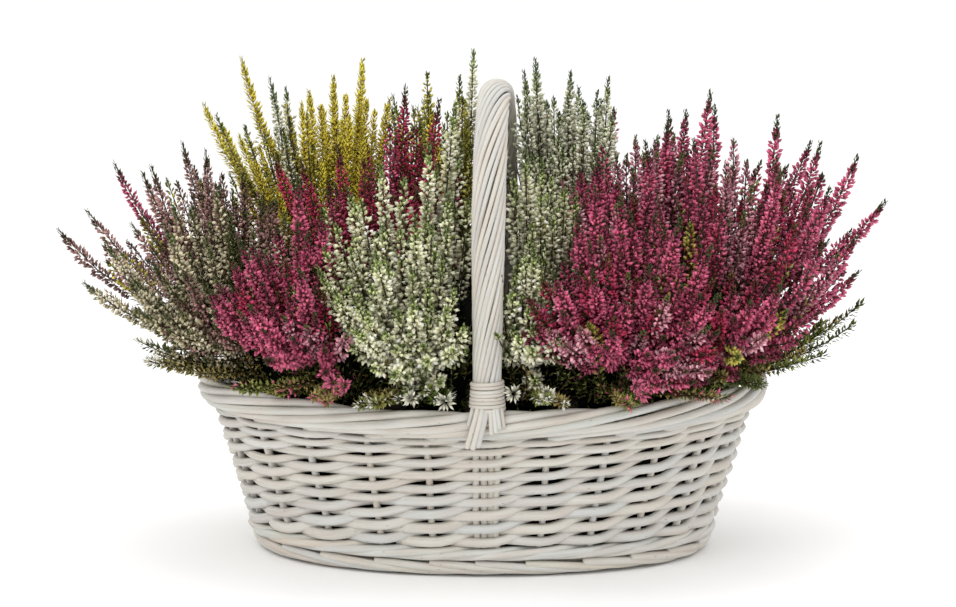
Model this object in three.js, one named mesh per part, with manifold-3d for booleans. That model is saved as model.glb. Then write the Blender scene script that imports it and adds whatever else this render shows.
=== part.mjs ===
// A white willow basket with a roped bow handle, planted with clumps of heather in several colours.
// Millimetres, +Z up. X runs along the basket, -Y is its front. The origin is at the middle of the
// foot, on the surface that the basket stands on.

import * as THREE from "three";
import { mergeVertices } from "three/addons/utils/BufferGeometryUtils.js";
import Module from "manifold-3d";

const wasm = await Module();
wasm.setup();

const GAP = 0.3;
const TURN = 2 * Math.PI;

// Basket: an oval of slightly squared ends, wider at the rim than at the foot.
const BASKET = {
  ovalPower: 2.1,
  footHalfLength: 150,
  footHalfWidth: 100.5,
  flareLength: 0.315,
  flareWidth: 0.222,
  rimHeight: 112.7,
  endRise: 5.3,
  wallThickness: 9,
  stakes: 24,
  stakePhase: 0.035,
  rows: 8,
};
const FOOT = { top: 12.6, width: 11, flatWidth: 6, bulge: 1.6 };
const WALE = { bottom: 13, top: 19.6, bulge: 2.2, width: 9.5 };
const WALL = { bottom: 20, top: 99, crest: 1.4, stakeDip: -2.2, gapDip: -4.2 };
const BORDER = { radius: 6.5, relief: 0.12, lobes: 3, sections: 48, halfLength: 183.2, halfWidth: 123.6 };
const BASE = { bottom: 5, top: 15.1, halfLength: 140.3, halfWidth: 90.2, sticks: 12, relief: 0.8 };
const LINER = { bottom: 15.5, top: 101, thickness: 1.4, columns: 20, chordSag: 2.2 };
const SOIL = { edge: 95, crown: 100, hole: 6.6, holeDepth: 30 };

// Handle: one roped bow across the middle, with its feet let into the rim border.
const HANDLE = {
  x: 9.3,
  skew: 0.018,
  halfSpan: 122,
  footHeight: 104,
  topHeight: 302.2,
  power: 2.5,
  halfWidth: 10.2,
  halfDepth: 8.4,
  relief: 0.06,
  lobes: 5,
  turns: -2.5,
  sections: 24,
};
const BINDING = { bottom: 113.6, top: 132, ridges: 6, clearance: 0.8, wall: 1.5, ridge: 1.1 };
const TAIL = { diameter: 4.6, sides: 6, steps: 2 };

// Heathers: clumps rooted side by side in the soil. Each has low green foliage round its stems,
// and a flowering bunch of spikes above it.
const CLUMP = {
  reach: 44,
  margin: 3.2,
  shootRoom: 0.45,
  halfLength: 155,
  halfWidth: 90,
  stemRadius: 6,
  stemSides: 6,
  stemGrip: 10,
};
const FOLIAGE = {
  bottom: 100.8, top: 124, rays: 8, hollow: 0.8, peak: 4, shoot: [0.84, 1, 0.94], mass: [0.84, 1, 0.84],
};
const BUNCH = {
  bottom: 129.6,
  rays: 10,
  belowTallest: 72,
  belowAverage: 24,
  peak: 26,
  hollow: 0.68,
  shoot: [0.7, 1, 0.8, 1, 0.78, 0.94, 0.66],
  mass: [0.7, 0.95, 1, 0.98, 0.92, 0.8, 0.5],
};
const FAN = { from: 100, rate: 0.0034 };
const SPIKE = {
  sides: 3,
  radius: 9.4,
  inner: 0.52,
  start: 0.1,
  whorls: [0.9, 1, 0.84, 0.56],
  reach: 0.92,
  length: 100,
  lowestBase: 140,
  upright: 0.75,
};
const SPRIG = {
  radius: 6,
  inner: 0.45,
  start: 0.3,
  whorls: [0.9, 1, 0.7],
  reach: 0.88,
  height: 120,
  upright: 0.75,
};
const SHOOT_BEND = { spread: 0.6, rise: 0.42 };

const COLOURS = {
  willow: 0xd9d6cb,
  liner: 0x1d1c1a,
  soil: 0x2b211a,
  leaf: 0x4a5a24,
  mauve: 0xa5707c,
  cream: 0xd8cfae,
  magenta: 0xa32a5c,
  yellow: 0xb9a838,
  crimson: 0xa3214c,
  white: 0xdcdcb4,
  silver: 0xb7c1a4,
  olive: 0x8d9350,
};

// Each clump: its root on the soil, and the tips of its tallest or furthest spikes.
const CLUMPS = [
  {
    name: "mauve_left",
    colour: "mauve",
    root: [-122, 26],
    tips: [[-276, -40, 216], [-270, 35, 220], [-250, 30, 253], [-226, -2, 250], [-205, 40, 266],
      [-248, 85, 205], [-205, 95, 245]],
    sprigs: [[-246, 60, 160], [-215, 100, 150], [-252, 10, 166]],
  },
  {
    name: "cream_left",
    colour: "cream",
    root: [-128, -32],
    tips: [[-256, -62, 184], [-243, -58, 212], [-214, -40, 258], [-180, -25, 267], [-222, -92, 190],
      [-200, -80, 225]],
    sprigs: [[-236, -66, 150], [-205, -96, 138], [-216, -60, 130]],
  },
  {
    name: "magenta_left",
    colour: "magenta",
    root: [-84, -60],
    tips: [[-148, -112, 218], [-115, -78, 256], [-98, -92, 236], [-166, -120, 188], [-138, -148, 182],
      [-108, -142, 205], [-128, -158, 150]],
    sprigs: [[-150, -132, 128], [-100, -142, 124]],
  },
  {
    name: "yellow_back",
    colour: "yellow",
    root: [-80, 58],
    tips: [[-195, 78, 290], [-167, 66, 322], [-183, 52, 284], [-152, 105, 306], [-126, 120, 296],
      [-106, 88, 308], [-84, 66, 321], [-176, 118, 265]],
    sprigs: [[-150, 140, 140]],
  },
  {
    name: "crimson_middle",
    colour: "crimson",
    root: [-46, 2],
    tips: [[-118, -30, 262], [-96, 5, 268], [-54, 55, 304], [-74, -20, 250], [-30, 35, 296],
      [-142, 22, 262]],
    sprigs: [],
  },
  {
    name: "white_left",
    colour: "white",
    root: [-30, -62],
    tips: [[-84, -62, 246], [-62, -76, 264], [-32, -66, 276], [-17, -40, 296], [-88, -130, 190],
      [-62, -128, 214], [-38, -116, 234], [-18, -96, 246], [-72, -152, 168], [-38, -148, 188], [-50, -152, 140]],
    sprigs: [[-64, -146, 120], [-24, -140, 122]],
  },
  {
    name: "white_right",
    colour: "white",
    root: [30, -50],
    tips: [[30, -66, 270], [36, -118, 214], [40, -36, 262]],
    sprigs: [[46, -146, 124]],
  },
  {
    name: "green_back",
    colour: "olive",
    root: [-18, 58],
    tips: [[-41, 108, 282], [-67, 128, 292], [-18, 78, 309], [-8, 64, 327], [-34, 155, 230],
      [-12, 112, 285]],
    sprigs: [[-44, 146, 124]],
  },
  {
    name: "silver_back",
    colour: "silver",
    root: [44, 48],
    tips: [[34, 64, 322], [26, 92, 312], [58, 82, 312], [42, 116, 289], [64, 108, 300], [84, 82, 307],
      [80, 118, 290], [60, 154, 225]],
    sprigs: [[48, 146, 124]],
  },
  {
    name: "magenta_right",
    colour: "magenta",
    root: [80, -58],
    tips: [[62, -108, 234], [74, -86, 250], [90, -88, 246], [127, -108, 234], [107, -134, 206],
      [48, -136, 202], [72, -140, 204], [150, -132, 188], [84, -154, 168], [124, -156, 152], [146, -112, 215]],
    sprigs: [[96, -146, 120], [150, -128, 122]],
  },
  {
    name: "rose_middle",
    colour: "magenta",
    root: [84, -2],
    tips: [[151, 16, 303], [136, 38, 289], [110, -30, 268], [76, -14, 262], [122, 8, 282]],
    sprigs: [],
  },
  {
    name: "rose_right",
    colour: "magenta",
    root: [130, -20],
    tips: [[195, 8, 288], [222, -12, 272], [224, -62, 247], [192, -60, 257], [241, -64, 216],
      [249, 14, 260], [247, -30, 190], [190, -104, 190]],
    sprigs: [[240, -60, 158], [206, -92, 140], [250, -12, 165], [180, -112, 128]],
  },
  {
    name: "rose_back",
    colour: "magenta",
    root: [108, 50],
    tips: [[125, 62, 287], [156, 52, 291], [110, 90, 264], [172, 62, 256],
      [220, 36, 268], [274, 64, 225], [240, 92, 205], [190, 118, 215], [140, 132, 235]],
    sprigs: [[230, 88, 150], [150, 138, 128]],
  },
];

// A repeatable number from 0 to 1 for item k of a series.
function chance(k, series) {
  const wave = Math.sin(k * 12.9898 + series * 78.233) * 43758.5453;
  return wave - Math.floor(wave);
}

function signedPower(value, power) {
  return Math.sign(value) * Math.abs(value) ** power;
}

// A point of the basket's oval, at an angle counted from +X.
function oval(halfLength, halfWidth, angle) {
  const power = 2 / BASKET.ovalPower;
  return [halfLength * signedPower(Math.cos(angle), power), halfWidth * signedPower(Math.sin(angle), power)];
}

function wallHalfLength(z) {
  return BASKET.footHalfLength + BASKET.flareLength * z;
}

function wallHalfWidth(z) {
  return BASKET.footHalfWidth + BASKET.flareWidth * z;
}

// How far the rim stands higher towards the two ends.
function endRise(angle) {
  return BASKET.endRise * Math.cos(angle) ** 2;
}

// A closed mesh geometry from rings of points. Rings are joined in order, and a hoop's last ring
// is joined to its first. Any other has a fan of triangles over each end, flat or up to a tip.
function surface(rings, isHoop = false, tip = null) {
  const sides = rings[0].length;
  const points = rings.flat().map((p) => new THREE.Vector3(...p));
  const faces = [];
  const strips = isHoop ? rings.length : rings.length - 1;
  for (let i = 0; i < strips; i++) {
    const next = (i + 1) % rings.length;
    for (let j = 0; j < sides; j++) {
      const a = i * sides + j;
      const b = i * sides + ((j + 1) % sides);
      const c = next * sides + ((j + 1) % sides);
      const d = next * sides + j;
      faces.push([a, b, c], [a, c, d]);
    }
  }
  if (!isHoop) {
    for (const [first, flip] of [[0, true], [(rings.length - 1) * sides, false]]) {
      const middle = new THREE.Vector3();
      for (let j = 0; j < sides; j++) middle.addScaledVector(points[first + j], 1 / sides);
      points.push(tip && first > 0 ? tip : middle);
      for (let j = 0; j < sides; j++) {
        const edge = [first + j, first + ((j + 1) % sides)];
        faces.push(flip ? [points.length - 1, edge[1], edge[0]] : [points.length - 1, edge[0], edge[1]]);
      }
    }
  }
  let volume = 0;
  for (const [a, b, c] of faces) volume += points[a].dot(points[b].clone().cross(points[c]));
  const geometry = new THREE.BufferGeometry();
  geometry.setFromPoints(points);
  geometry.setIndex(faces.flatMap(([a, b, c]) => (volume > 0 ? [a, b, c] : [a, c, b])));
  return geometry;
}

function solidOf(geometry) {
  const bare = geometry.clone();
  bare.deleteAttribute("normal");
  bare.deleteAttribute("uv");
  const merged = mergeVertices(bare, 1e-4);
  return new wasm.Manifold(new wasm.Mesh({
    numProp: 3,
    vertProperties: new Float32Array(merged.attributes.position.array),
    triVerts: new Uint32Array(merged.index.array),
  }));
}

function geometryOf(solid) {
  const mesh = solid.getMesh();
  const geometry = new THREE.BufferGeometry();
  geometry.setAttribute("position", new THREE.BufferAttribute(new Float32Array(mesh.vertProperties), 3));
  geometry.setIndex(new THREE.BufferAttribute(new Uint32Array(mesh.triVerts), 1));
  return geometry;
}

function joined(solids) {
  return solids.reduce((sum, solid) => sum.add(solid));
}

const group = new THREE.Group();
group.name = "potted_heather";

function addPiece(name, geometry, colour, roughness) {
  geometry.computeVertexNormals();
  const material = new THREE.MeshStandardMaterial({ color: COLOURS[colour], roughness, metalness: 0 });
  const mesh = new THREE.Mesh(geometry, material);
  mesh.name = name;
  group.add(mesh);
}

// The foot border: the rods that the basket stands on, with a flat underside.
function footBorder() {
  const sections = [];
  const columns = 2 * BASKET.stakes;
  for (let i = 0; i < columns; i++) {
    const angle = (TURN * i) / columns + BASKET.stakePhase;
    const bulge = i % 2 === 0 ? FOOT.bulge : 0.3 * FOOT.bulge;
    const ring = [[-FOOT.width, 0.55], [-FOOT.width + 2, 0], [-FOOT.width + 2 + FOOT.flatWidth, 0],
      [bulge, 0.45], [-0.8, 1], [-FOOT.width + 0.5, 1]];
    sections.push(ring.map(([out, level]) => {
      const z = level * FOOT.top;
      return [...oval(wallHalfLength(z) + out, wallHalfWidth(z) + out, angle), z];
    }));
  }
  return surface(sections, true);
}

// The lower wale: two heavy courses twisted round the stakes above the foot.
function lowerWale() {
  const sections = [];
  const columns = 2 * BASKET.stakes;
  const height = WALE.top - WALE.bottom;
  for (let i = 0; i < columns; i++) {
    const angle = (TURN * i) / columns + BASKET.stakePhase;
    const crest = i % 2 === 0 ? WALE.bulge : 0.35 * WALE.bulge;
    const ring = [[-WALE.width, 0], [crest, 0.1], [0, 0.5], [WALE.bulge - crest + 0.4, 0.75],
      [-0.3, 1], [-WALE.width, 1]];
    sections.push(ring.map(([out, level]) => {
      const z = WALE.bottom + level * height;
      return [...oval(wallHalfLength(z) + out, wallHalfWidth(z) + out, angle), z];
    }));
  }
  return surface(sections, true);
}

// The woven wall: a rod stands out over every stake in every row. The stakes show between the
// rows, and the gaps beside them are hollows that don't go through.
function wovenWall() {
  const sections = [];
  const columns = 2 * BASKET.stakes;
  const height = WALL.top - WALL.bottom;
  for (let i = 0; i < columns; i++) {
    const angle = (TURN * i) / columns + BASKET.stakePhase;
    const overStake = i % 2 === 0;
    const place = (out, level) => {
      const z = WALL.bottom + level * (height + endRise(angle));
      return [...oval(wallHalfLength(z) + out, wallHalfWidth(z) + out, angle), z];
    };
    const ring = [];
    for (let row = 0; row < BASKET.rows; row++) {
      ring.push(place(overStake ? WALL.stakeDip : WALL.gapDip, row / BASKET.rows));
      ring.push(place(overStake ? WALL.crest : -0.8, (row + 0.5) / BASKET.rows));
    }
    ring.push(place(-1.5, 1), place(-BASKET.wallThickness, 1), place(-BASKET.wallThickness, 0));
    sections.push(ring);
  }
  return surface(sections, true);
}

// The base: an oval mat woven on sticks, held inside the foot.
function baseMat() {
  const ringAt = (scale, z, relief) => {
    const columns = 2 * BASE.sticks;
    return Array.from({ length: columns }, (_, i) => {
      const [x, y] = oval(BASE.halfLength * scale, BASE.halfWidth * scale, (TURN * i) / columns);
      return [x, y, z + (i % 2 === 0 ? relief : -relief)];
    });
  };
  return surface([ringAt(0.55, BASE.bottom, BASE.relief), ringAt(1, BASE.bottom, BASE.relief),
    ringAt(1, BASE.top, 0), ringAt(0.5, BASE.top, 0)]);
}

// The half length and half width of the room inside the wall, less an inset.
function innerHalf(z, inset) {
  const out = -BASKET.wallThickness - inset;
  return [wallHalfLength(z) + out, wallHalfWidth(z) + out];
}

// A thin cup inside the basket that keeps the soil in.
function planterLiner() {
  const ringAt = (level, inset) => Array.from({ length: LINER.columns }, (_, i) => {
    const angle = (TURN * i) / LINER.columns;
    const z = level === LINER.top ? level + endRise(angle) : level;
    return [...oval(...innerHalf(z, inset), angle), z];
  });
  const outer = GAP + LINER.chordSag;
  const inner = outer + LINER.thickness;
  return surface([ringAt(LINER.bottom, outer + 6), ringAt(LINER.bottom + 8, outer), ringAt(LINER.top, outer),
    ringAt(LINER.top, inner), ringAt(LINER.bottom + 8, inner), ringAt(LINER.bottom + LINER.thickness, inner + 6)]);
}

// The soil, slightly crowned, with a plain hole for each clump's stems.
function soilBody() {
  const inset = 2 * GAP + LINER.chordSag + LINER.thickness;
  const ringAt = (z, scale, extra) => Array.from({ length: LINER.columns }, (_, i) => {
    const [x, y] = oval(...innerHalf(z, inset + extra), (TURN * i) / LINER.columns);
    return [x * scale, y * scale, z];
  });
  const bottom = LINER.bottom + LINER.thickness + GAP;
  let soil = solidOf(surface([ringAt(bottom, 1, 6.4), ringAt(bottom + 8, 1, 0.2), ringAt(SOIL.edge, 1, 0),
    ringAt(SOIL.crown, 0.6, 0)]));
  for (const clump of CLUMPS) {
    const hole = new THREE.CylinderGeometry(SOIL.hole, SOIL.hole, 2 * SOIL.holeDepth, CLUMP.stemSides);
    hole.rotateX(Math.PI / 2);
    hole.translate(clump.root[0], clump.root[1], SOIL.crown);
    soil = soil.subtract(solidOf(hole));
  }
  return geometryOf(soil);
}

// The bow's centre line: t runs from 0 at the front foot to 1 at the back foot.
function bowPoint(t) {
  const angle = Math.PI * t;
  const power = 2 / HANDLE.power;
  const y = -HANDLE.halfSpan * signedPower(Math.cos(angle), power);
  const z = HANDLE.footHeight + (HANDLE.topHeight - HANDLE.footHeight) * signedPower(Math.sin(angle), power);
  return new THREE.Vector3(HANDLE.x + HANDLE.skew * y, y, z);
}

const bowCurve = new THREE.CatmullRomCurve3(Array.from({ length: 41 }, (_, i) => bowPoint(i / 40)));

// Rods laid in a rope round the bow.
function handleBow() {
  const sides = 2 * HANDLE.lobes;
  const rings = [];
  for (let i = 0; i <= HANDLE.sections; i++) {
    const t = i / HANDLE.sections;
    const centre = bowCurve.getPointAt(t);
    const tangent = bowCurve.getTangentAt(t);
    const across = new THREE.Vector3(1, 0, 0);
    const outward = across.clone().cross(tangent).normalize();
    const ring = [];
    for (let j = 0; j < sides; j++) {
      const turn = (TURN * j) / sides + TURN * HANDLE.turns * t;
      const scale = j % 2 === 0 ? 1 + HANDLE.relief : 1 - HANDLE.relief;
      const point = centre.clone();
      point.addScaledVector(across, HANDLE.halfWidth * scale * Math.cos(turn));
      point.addScaledVector(outward, HANDLE.halfDepth * scale * Math.sin(turn));
      ring.push(point.toArray());
    }
    rings.push(ring);
  }
  return surface(rings);
}

function bowPockets() {
  const depth = 30;
  const pockets = [0, 1].map((t) => {
    const foot = bowPoint(t);
    const pocket = new THREE.CylinderGeometry(1, 1, depth, 2 * HANDLE.lobes);
    pocket.rotateX(Math.PI / 2);
    const grown = 1 + HANDLE.relief + 0.06;
    pocket.scale(HANDLE.halfWidth * grown + GAP, HANDLE.halfDepth * grown + GAP, 1);
    pocket.translate(foot.x, foot.y, HANDLE.footHeight - GAP - 0.2 + depth / 2);
    return solidOf(pocket);
  });
  return joined(pockets);
}

// The rim border: rods laid over one another like a rope, higher at the basket's two ends. The
// two feet of the bow stand in pockets in it.
function rimBorder() {
  const sections = [];
  const sides = 2 * BORDER.lobes;
  const middle = BASKET.rimHeight - BORDER.radius;
  for (let i = 0; i < BORDER.sections; i++) {
    const angle = (TURN * i) / BORDER.sections;
    const twist = (i * Math.PI) / 6;
    const ring = [];
    for (let j = 0; j < sides; j++) {
      const turn = (TURN * j) / sides + twist;
      const radius = BORDER.radius * (j % 2 === 0 ? 1 + BORDER.relief : 1 - BORDER.relief);
      const out = radius * Math.cos(turn);
      const [x, y] = oval(BORDER.halfLength + out, BORDER.halfWidth + out, angle);
      ring.push([x, y, middle + endRise(angle) + radius * Math.sin(turn)]);
    }
    sections.push(ring);
  }
  return geometryOf(solidOf(surface(sections, true)).subtract(bowPockets()));
}

// Thin cane bound round each foot of the bow.
function handleBinding(side) {
  const columns = 10;
  const sections = [];
  const foot = bowPoint(side < 0 ? 0 : 1);
  for (let i = 0; i < columns; i++) {
    const turn = (TURN * i) / columns;
    const place = (out, z) => [
      foot.x + (HANDLE.halfWidth * (1 + HANDLE.relief) + out) * Math.cos(turn),
      foot.y + (HANDLE.halfDepth * (1 + HANDLE.relief) + out) * Math.sin(turn),
      z,
    ];
    const ring = [place(BINDING.clearance, BINDING.bottom)];
    for (let k = 0; k <= BINDING.ridges; k++) {
      const z = BINDING.bottom + ((BINDING.top - BINDING.bottom) * k) / BINDING.ridges;
      ring.push(place(BINDING.clearance + BINDING.wall + (k % 2 === 0 ? 0 : BINDING.ridge), z));
    }
    ring.push(place(BINDING.clearance, BINDING.top));
    sections.push(ring);
  }
  return surface(sections, true);
}

// Rod ends spread in an upturned V over the border, below the binding.
function handleTails(side) {
  const y = side * (BORDER.halfWidth + BORDER.radius * (1 + BORDER.relief) + GAP + TAIL.diameter / 2);
  const x = bowPoint(side < 0 ? 0 : 1).x;
  const rods = [[-13.4, 88], [-9, 87.5], [-4.6, 88.5], [7, 93]].map(([spread, end]) => {
    const curve = new THREE.CatmullRomCurve3([
      new THREE.Vector3(x + spread * 0.1, y + side * 0.4, BINDING.bottom - TAIL.diameter / 2 - GAP),
      new THREE.Vector3(x + spread * 0.5, y + side * 0.4, 104),
      new THREE.Vector3(x + spread, y - side * 1.5, end),
    ]);
    const outline = new THREE.Shape();
    outline.absarc(0, 0, TAIL.diameter / 2, 0, TURN);
    const rod = new THREE.ExtrudeGeometry(outline, {
      steps: TAIL.steps,
      curveSegments: TAIL.sides / 2,
      bevelEnabled: false,
      extrudePath: curve,
    });
    return solidOf(rod);
  });
  return geometryOf(joined(rods));
}

// The centre line of a spike, bending up from its base to its tip.
function spikeCurve(base, tip) {
  const control = new THREE.Vector3(
    base.x + SHOOT_BEND.spread * (tip.x - base.x),
    base.y + SHOOT_BEND.spread * (tip.y - base.y),
    base.z + SHOOT_BEND.rise * (tip.z - base.z),
  );
  return new THREE.QuadraticBezierCurve3(base, control, tip);
}

// A spike: a slim stem, then whorls of florets that stand out and lean up, to a bare tip. Each
// whorl is turned half a step from the one below it.
function spikeSolid(curve, radius, kind) {
  const whorlCount = kind.whorls.length;
  const ringAt = (t, reach, phase) => {
    const centre = curve.getPoint(t);
    const tangent = curve.getTangent(t);
    const side = new THREE.Vector3(tangent.z, 0, -tangent.x).normalize();
    const front = tangent.clone().cross(side);
    return Array.from({ length: SPIKE.sides }, (_, j) => {
      const turn = (TURN * (j + phase)) / SPIKE.sides;
      const point = centre.clone();
      point.addScaledVector(side, reach * Math.cos(turn)).addScaledVector(front, reach * Math.sin(turn));
      return point.toArray();
    });
  };
  const rings = [ringAt(0, radius * kind.inner, 0)];
  const step = (kind.reach - kind.start) / whorlCount;
  kind.whorls.forEach((share, k) => {
    const t = kind.start + k * step;
    rings.push(ringAt(t + 0.7 * step, radius * share, k / 2));
    if (k < whorlCount - 1) rings.push(ringAt(t + step, radius * share * kind.inner, k / 2 + 0.25));
  });
  return solidOf(surface(rings, false, curve.getPoint(1)));
}

// How far a clump reaches from its root in one direction, before its neighbours or the basket.
function clumpReach(clump, angle) {
  const dx = Math.cos(angle);
  const dy = Math.sin(angle);
  const [x, y] = clump.root;
  let reach = CLUMP.reach;
  for (const other of CLUMPS) {
    if (other === clump) continue;
    const ox = other.root[0] - x;
    const oy = other.root[1] - y;
    const along = dx * ox + dy * oy;
    if (along > 0) reach = Math.min(reach, (ox * ox + oy * oy) / (2 * along));
  }
  const a = (dx / CLUMP.halfLength) ** 2 + (dy / CLUMP.halfWidth) ** 2;
  const b = (x * dx) / CLUMP.halfLength ** 2 + (y * dy) / CLUMP.halfWidth ** 2;
  const c = (x / CLUMP.halfLength) ** 2 + (y / CLUMP.halfWidth) ** 2 - 1;
  return Math.min(reach, (-b + Math.sqrt(b * b - a * c)) / a) - CLUMP.margin;
}

// How far the crown has fanned out from the basket's middle at a height.
function fan(z) {
  return 1 + FAN.rate * (z - FAN.from);
}

// A mass of shoots round a clump's stems. Every second corner of an outline is a shoot, with
// whorls where it stands out furthest and a peak at its end, and the others lie between shoots.
function shootMass(clump, form, topHeight) {
  const last = form.shoot.length - 1;
  const rings = form.shoot.map((shoot, level) => {
    const z = form.bottom + ((topHeight - form.bottom) * level) / last;
    return Array.from({ length: form.rays }, (_, j) => {
      const angle = (TURN * j) / form.rays + clump.root[0];
      const isShoot = j % 2 === 0;
      const reach = clumpReach(clump, angle) * (isShoot ? shoot : form.mass[level] * form.hollow);
      const lift = isShoot && level === last ? form.peak * (0.5 + chance(j, clump.root[1])) : 0;
      return [
        fan(z) * (clump.root[0] + reach * Math.cos(angle)),
        fan(z) * (clump.root[1] + reach * Math.sin(angle)),
        z + lift,
      ];
    });
  });
  return solidOf(surface(rings));
}

// The flowering mass ends below the clump's tallest tips, and lower where its tips are uneven.
function bunchTop(clump) {
  const heights = clump.tips.map(([, , z]) => z);
  const average = heights.reduce((sum, z) => sum + z) / heights.length;
  return Math.min(Math.max(...heights) - BUNCH.belowTallest, average - BUNCH.belowAverage);
}

// Where a shoot to a tip starts: inside the clump's mass, at a share of the way to that tip.
function shootBase(clump, x, y, share, height) {
  const [rootX, rootY] = clump.root.map((value) => fan(height) * value);
  const angle = Math.atan2(y - rootY, x - rootX);
  const away = Math.hypot(x - rootX, y - rootY);
  const out = Math.min(share * away, CLUMP.shootRoom * fan(height) * clumpReach(clump, angle));
  return new THREE.Vector3(rootX + out * Math.cos(angle), rootY + out * Math.sin(angle), height);
}

// A clump's flowering spikes, from inside its mass to its tips.
function clumpSpikes(clump) {
  return clump.tips.map(([x, y, z], k) => {
    const height = Math.max(SPIKE.lowestBase, z - SPIKE.length);
    const base = shootBase(clump, x, y, SPIKE.upright, height);
    const radius = SPIKE.radius * (0.86 + 0.22 * chance(k, clump.root[0]));
    return spikeSolid(spikeCurve(base, new THREE.Vector3(x, y, z)), radius, SPIKE);
  });
}

// A clump's leafy sprigs, which hang out over the basket's rim.
function clumpSprigs(clump) {
  return clump.sprigs.map(([x, y, z]) => {
    const base = shootBase(clump, x, y, SPRIG.upright, SPRIG.height);
    return spikeSolid(spikeCurve(base, new THREE.Vector3(x, y, z)), SPRIG.radius, SPRIG);
  });
}

function rootStem(clump, radius, top) {
  const bottom = SOIL.crown - SOIL.holeDepth + GAP;
  const stem = new THREE.CylinderGeometry(radius, radius, top - bottom, CLUMP.stemSides);
  stem.rotateX(Math.PI / 2);
  stem.translate(clump.root[0], clump.root[1], (top + bottom) / 2);
  return solidOf(stem);
}

// The room that the masses leave round the bow: low down beside its two upright legs, and higher
// up beside its two shoulders.
function handleSlots() {
  const width = 2 * HANDLE.halfWidth + 5;
  const slots = [];
  for (const side of [-1, 1]) {
    for (const [inner, bottom] of [[104, 100], [56, 190]]) {
      const depth = HANDLE.halfSpan + 40 - inner;
      const slot = new THREE.BoxGeometry(width, depth, HANDLE.topHeight - bottom);
      const middle = inner + depth / 2;
      slot.translate(HANDLE.x + side * HANDLE.skew * middle, side * middle, (HANDLE.topHeight + bottom) / 2);
      slots.push(solidOf(slot));
    }
  }
  return joined(slots);
}

function addHeathers() {
  const slots = handleSlots();
  for (const clump of CLUMPS) {
    const foliage = joined([shootMass(clump, FOLIAGE, FOLIAGE.top), ...clumpSprigs(clump)]);
    const stemHole = rootStem(clump, SOIL.hole, BUNCH.bottom);
    addPiece(`foliage_${clump.name}`, geometryOf(foliage.subtract(stemHole)), "leaf", 0.8);
    const bunch = joined([
      shootMass(clump, BUNCH, bunchTop(clump)).subtract(slots),
      rootStem(clump, CLUMP.stemRadius, BUNCH.bottom + CLUMP.stemGrip),
      ...clumpSpikes(clump),
    ]);
    addPiece(`heather_${clump.name}`, geometryOf(bunch), clump.colour, 0.75);
  }
}

addPiece("foot_border", footBorder(), "willow", 0.7);
addPiece("base_mat", baseMat(), "willow", 0.75);
addPiece("lower_wale", lowerWale(), "willow", 0.7);
addPiece("woven_wall", wovenWall(), "willow", 0.7);
addPiece("planter_liner", planterLiner(), "liner", 0.5);
addPiece("soil", soilBody(), "soil", 0.95);
addPiece("handle_bow", handleBow(), "willow", 0.65);
for (const [place, side] of [["front", -1], ["back", 1]]) {
  addPiece(`handle_binding_${place}`, handleBinding(side), "willow", 0.65);
  addPiece(`handle_tails_${place}`, handleTails(side), "willow", 0.7);
}
addPiece("rim_border", rimBorder(), "willow", 0.65);
addHeathers();

export default group;
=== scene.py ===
# A white willow basket with a roped bow handle, planted with clumps of heather in several colours.
# Shapes are worked out in millimetres as numpy arrays and put into meshes in metres.
import math

import bpy
import numpy as np
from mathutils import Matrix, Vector


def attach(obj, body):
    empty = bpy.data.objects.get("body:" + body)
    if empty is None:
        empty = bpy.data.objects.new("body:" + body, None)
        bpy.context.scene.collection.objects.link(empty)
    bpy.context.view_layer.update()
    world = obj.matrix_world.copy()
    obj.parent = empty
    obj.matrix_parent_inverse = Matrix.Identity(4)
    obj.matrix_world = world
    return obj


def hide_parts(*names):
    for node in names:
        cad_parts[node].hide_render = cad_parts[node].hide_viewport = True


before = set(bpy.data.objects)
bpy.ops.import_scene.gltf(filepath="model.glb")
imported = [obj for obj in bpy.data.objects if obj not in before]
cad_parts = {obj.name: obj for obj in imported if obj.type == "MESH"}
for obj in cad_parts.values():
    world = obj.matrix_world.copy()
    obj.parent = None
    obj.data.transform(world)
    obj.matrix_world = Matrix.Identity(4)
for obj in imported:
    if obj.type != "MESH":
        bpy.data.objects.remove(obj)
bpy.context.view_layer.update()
mm = 0.001
turn = 2 * math.pi
rng = np.random.default_rng(41)

# Camera: what it looks at, from how far and from which side.
cameraView = {"target": (-2.68, 0.0, 161.87), "azimuth": 1.92, "elevation": 8.35, "distance": 1800.0,
              "lens": 101.7, "sensor": 36.0}


def addCamera(settings):
    # place = target + distance * (sin az cos el, -cos az cos el, sin el), looking at the target
    azimuth, elevation = math.radians(settings["azimuth"]), math.radians(settings["elevation"])
    back = Vector((math.sin(azimuth) * math.cos(elevation), -math.cos(azimuth) * math.cos(elevation),
                   math.sin(elevation)))
    data = bpy.data.cameras.new("camera")
    data.lens, data.sensor_width = settings["lens"], settings["sensor"]
    camera = bpy.data.objects.new("camera", data)
    camera.location = (Vector(settings["target"]) + back * settings["distance"]) * mm
    camera.rotation_mode = "QUATERNION"
    camera.rotation_quaternion = (-back).to_track_quat("-Z", "Y")
    bpy.context.scene.collection.objects.link(camera)
    bpy.context.scene.camera = camera


addCamera(cameraView)
print("camera placed")


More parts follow.
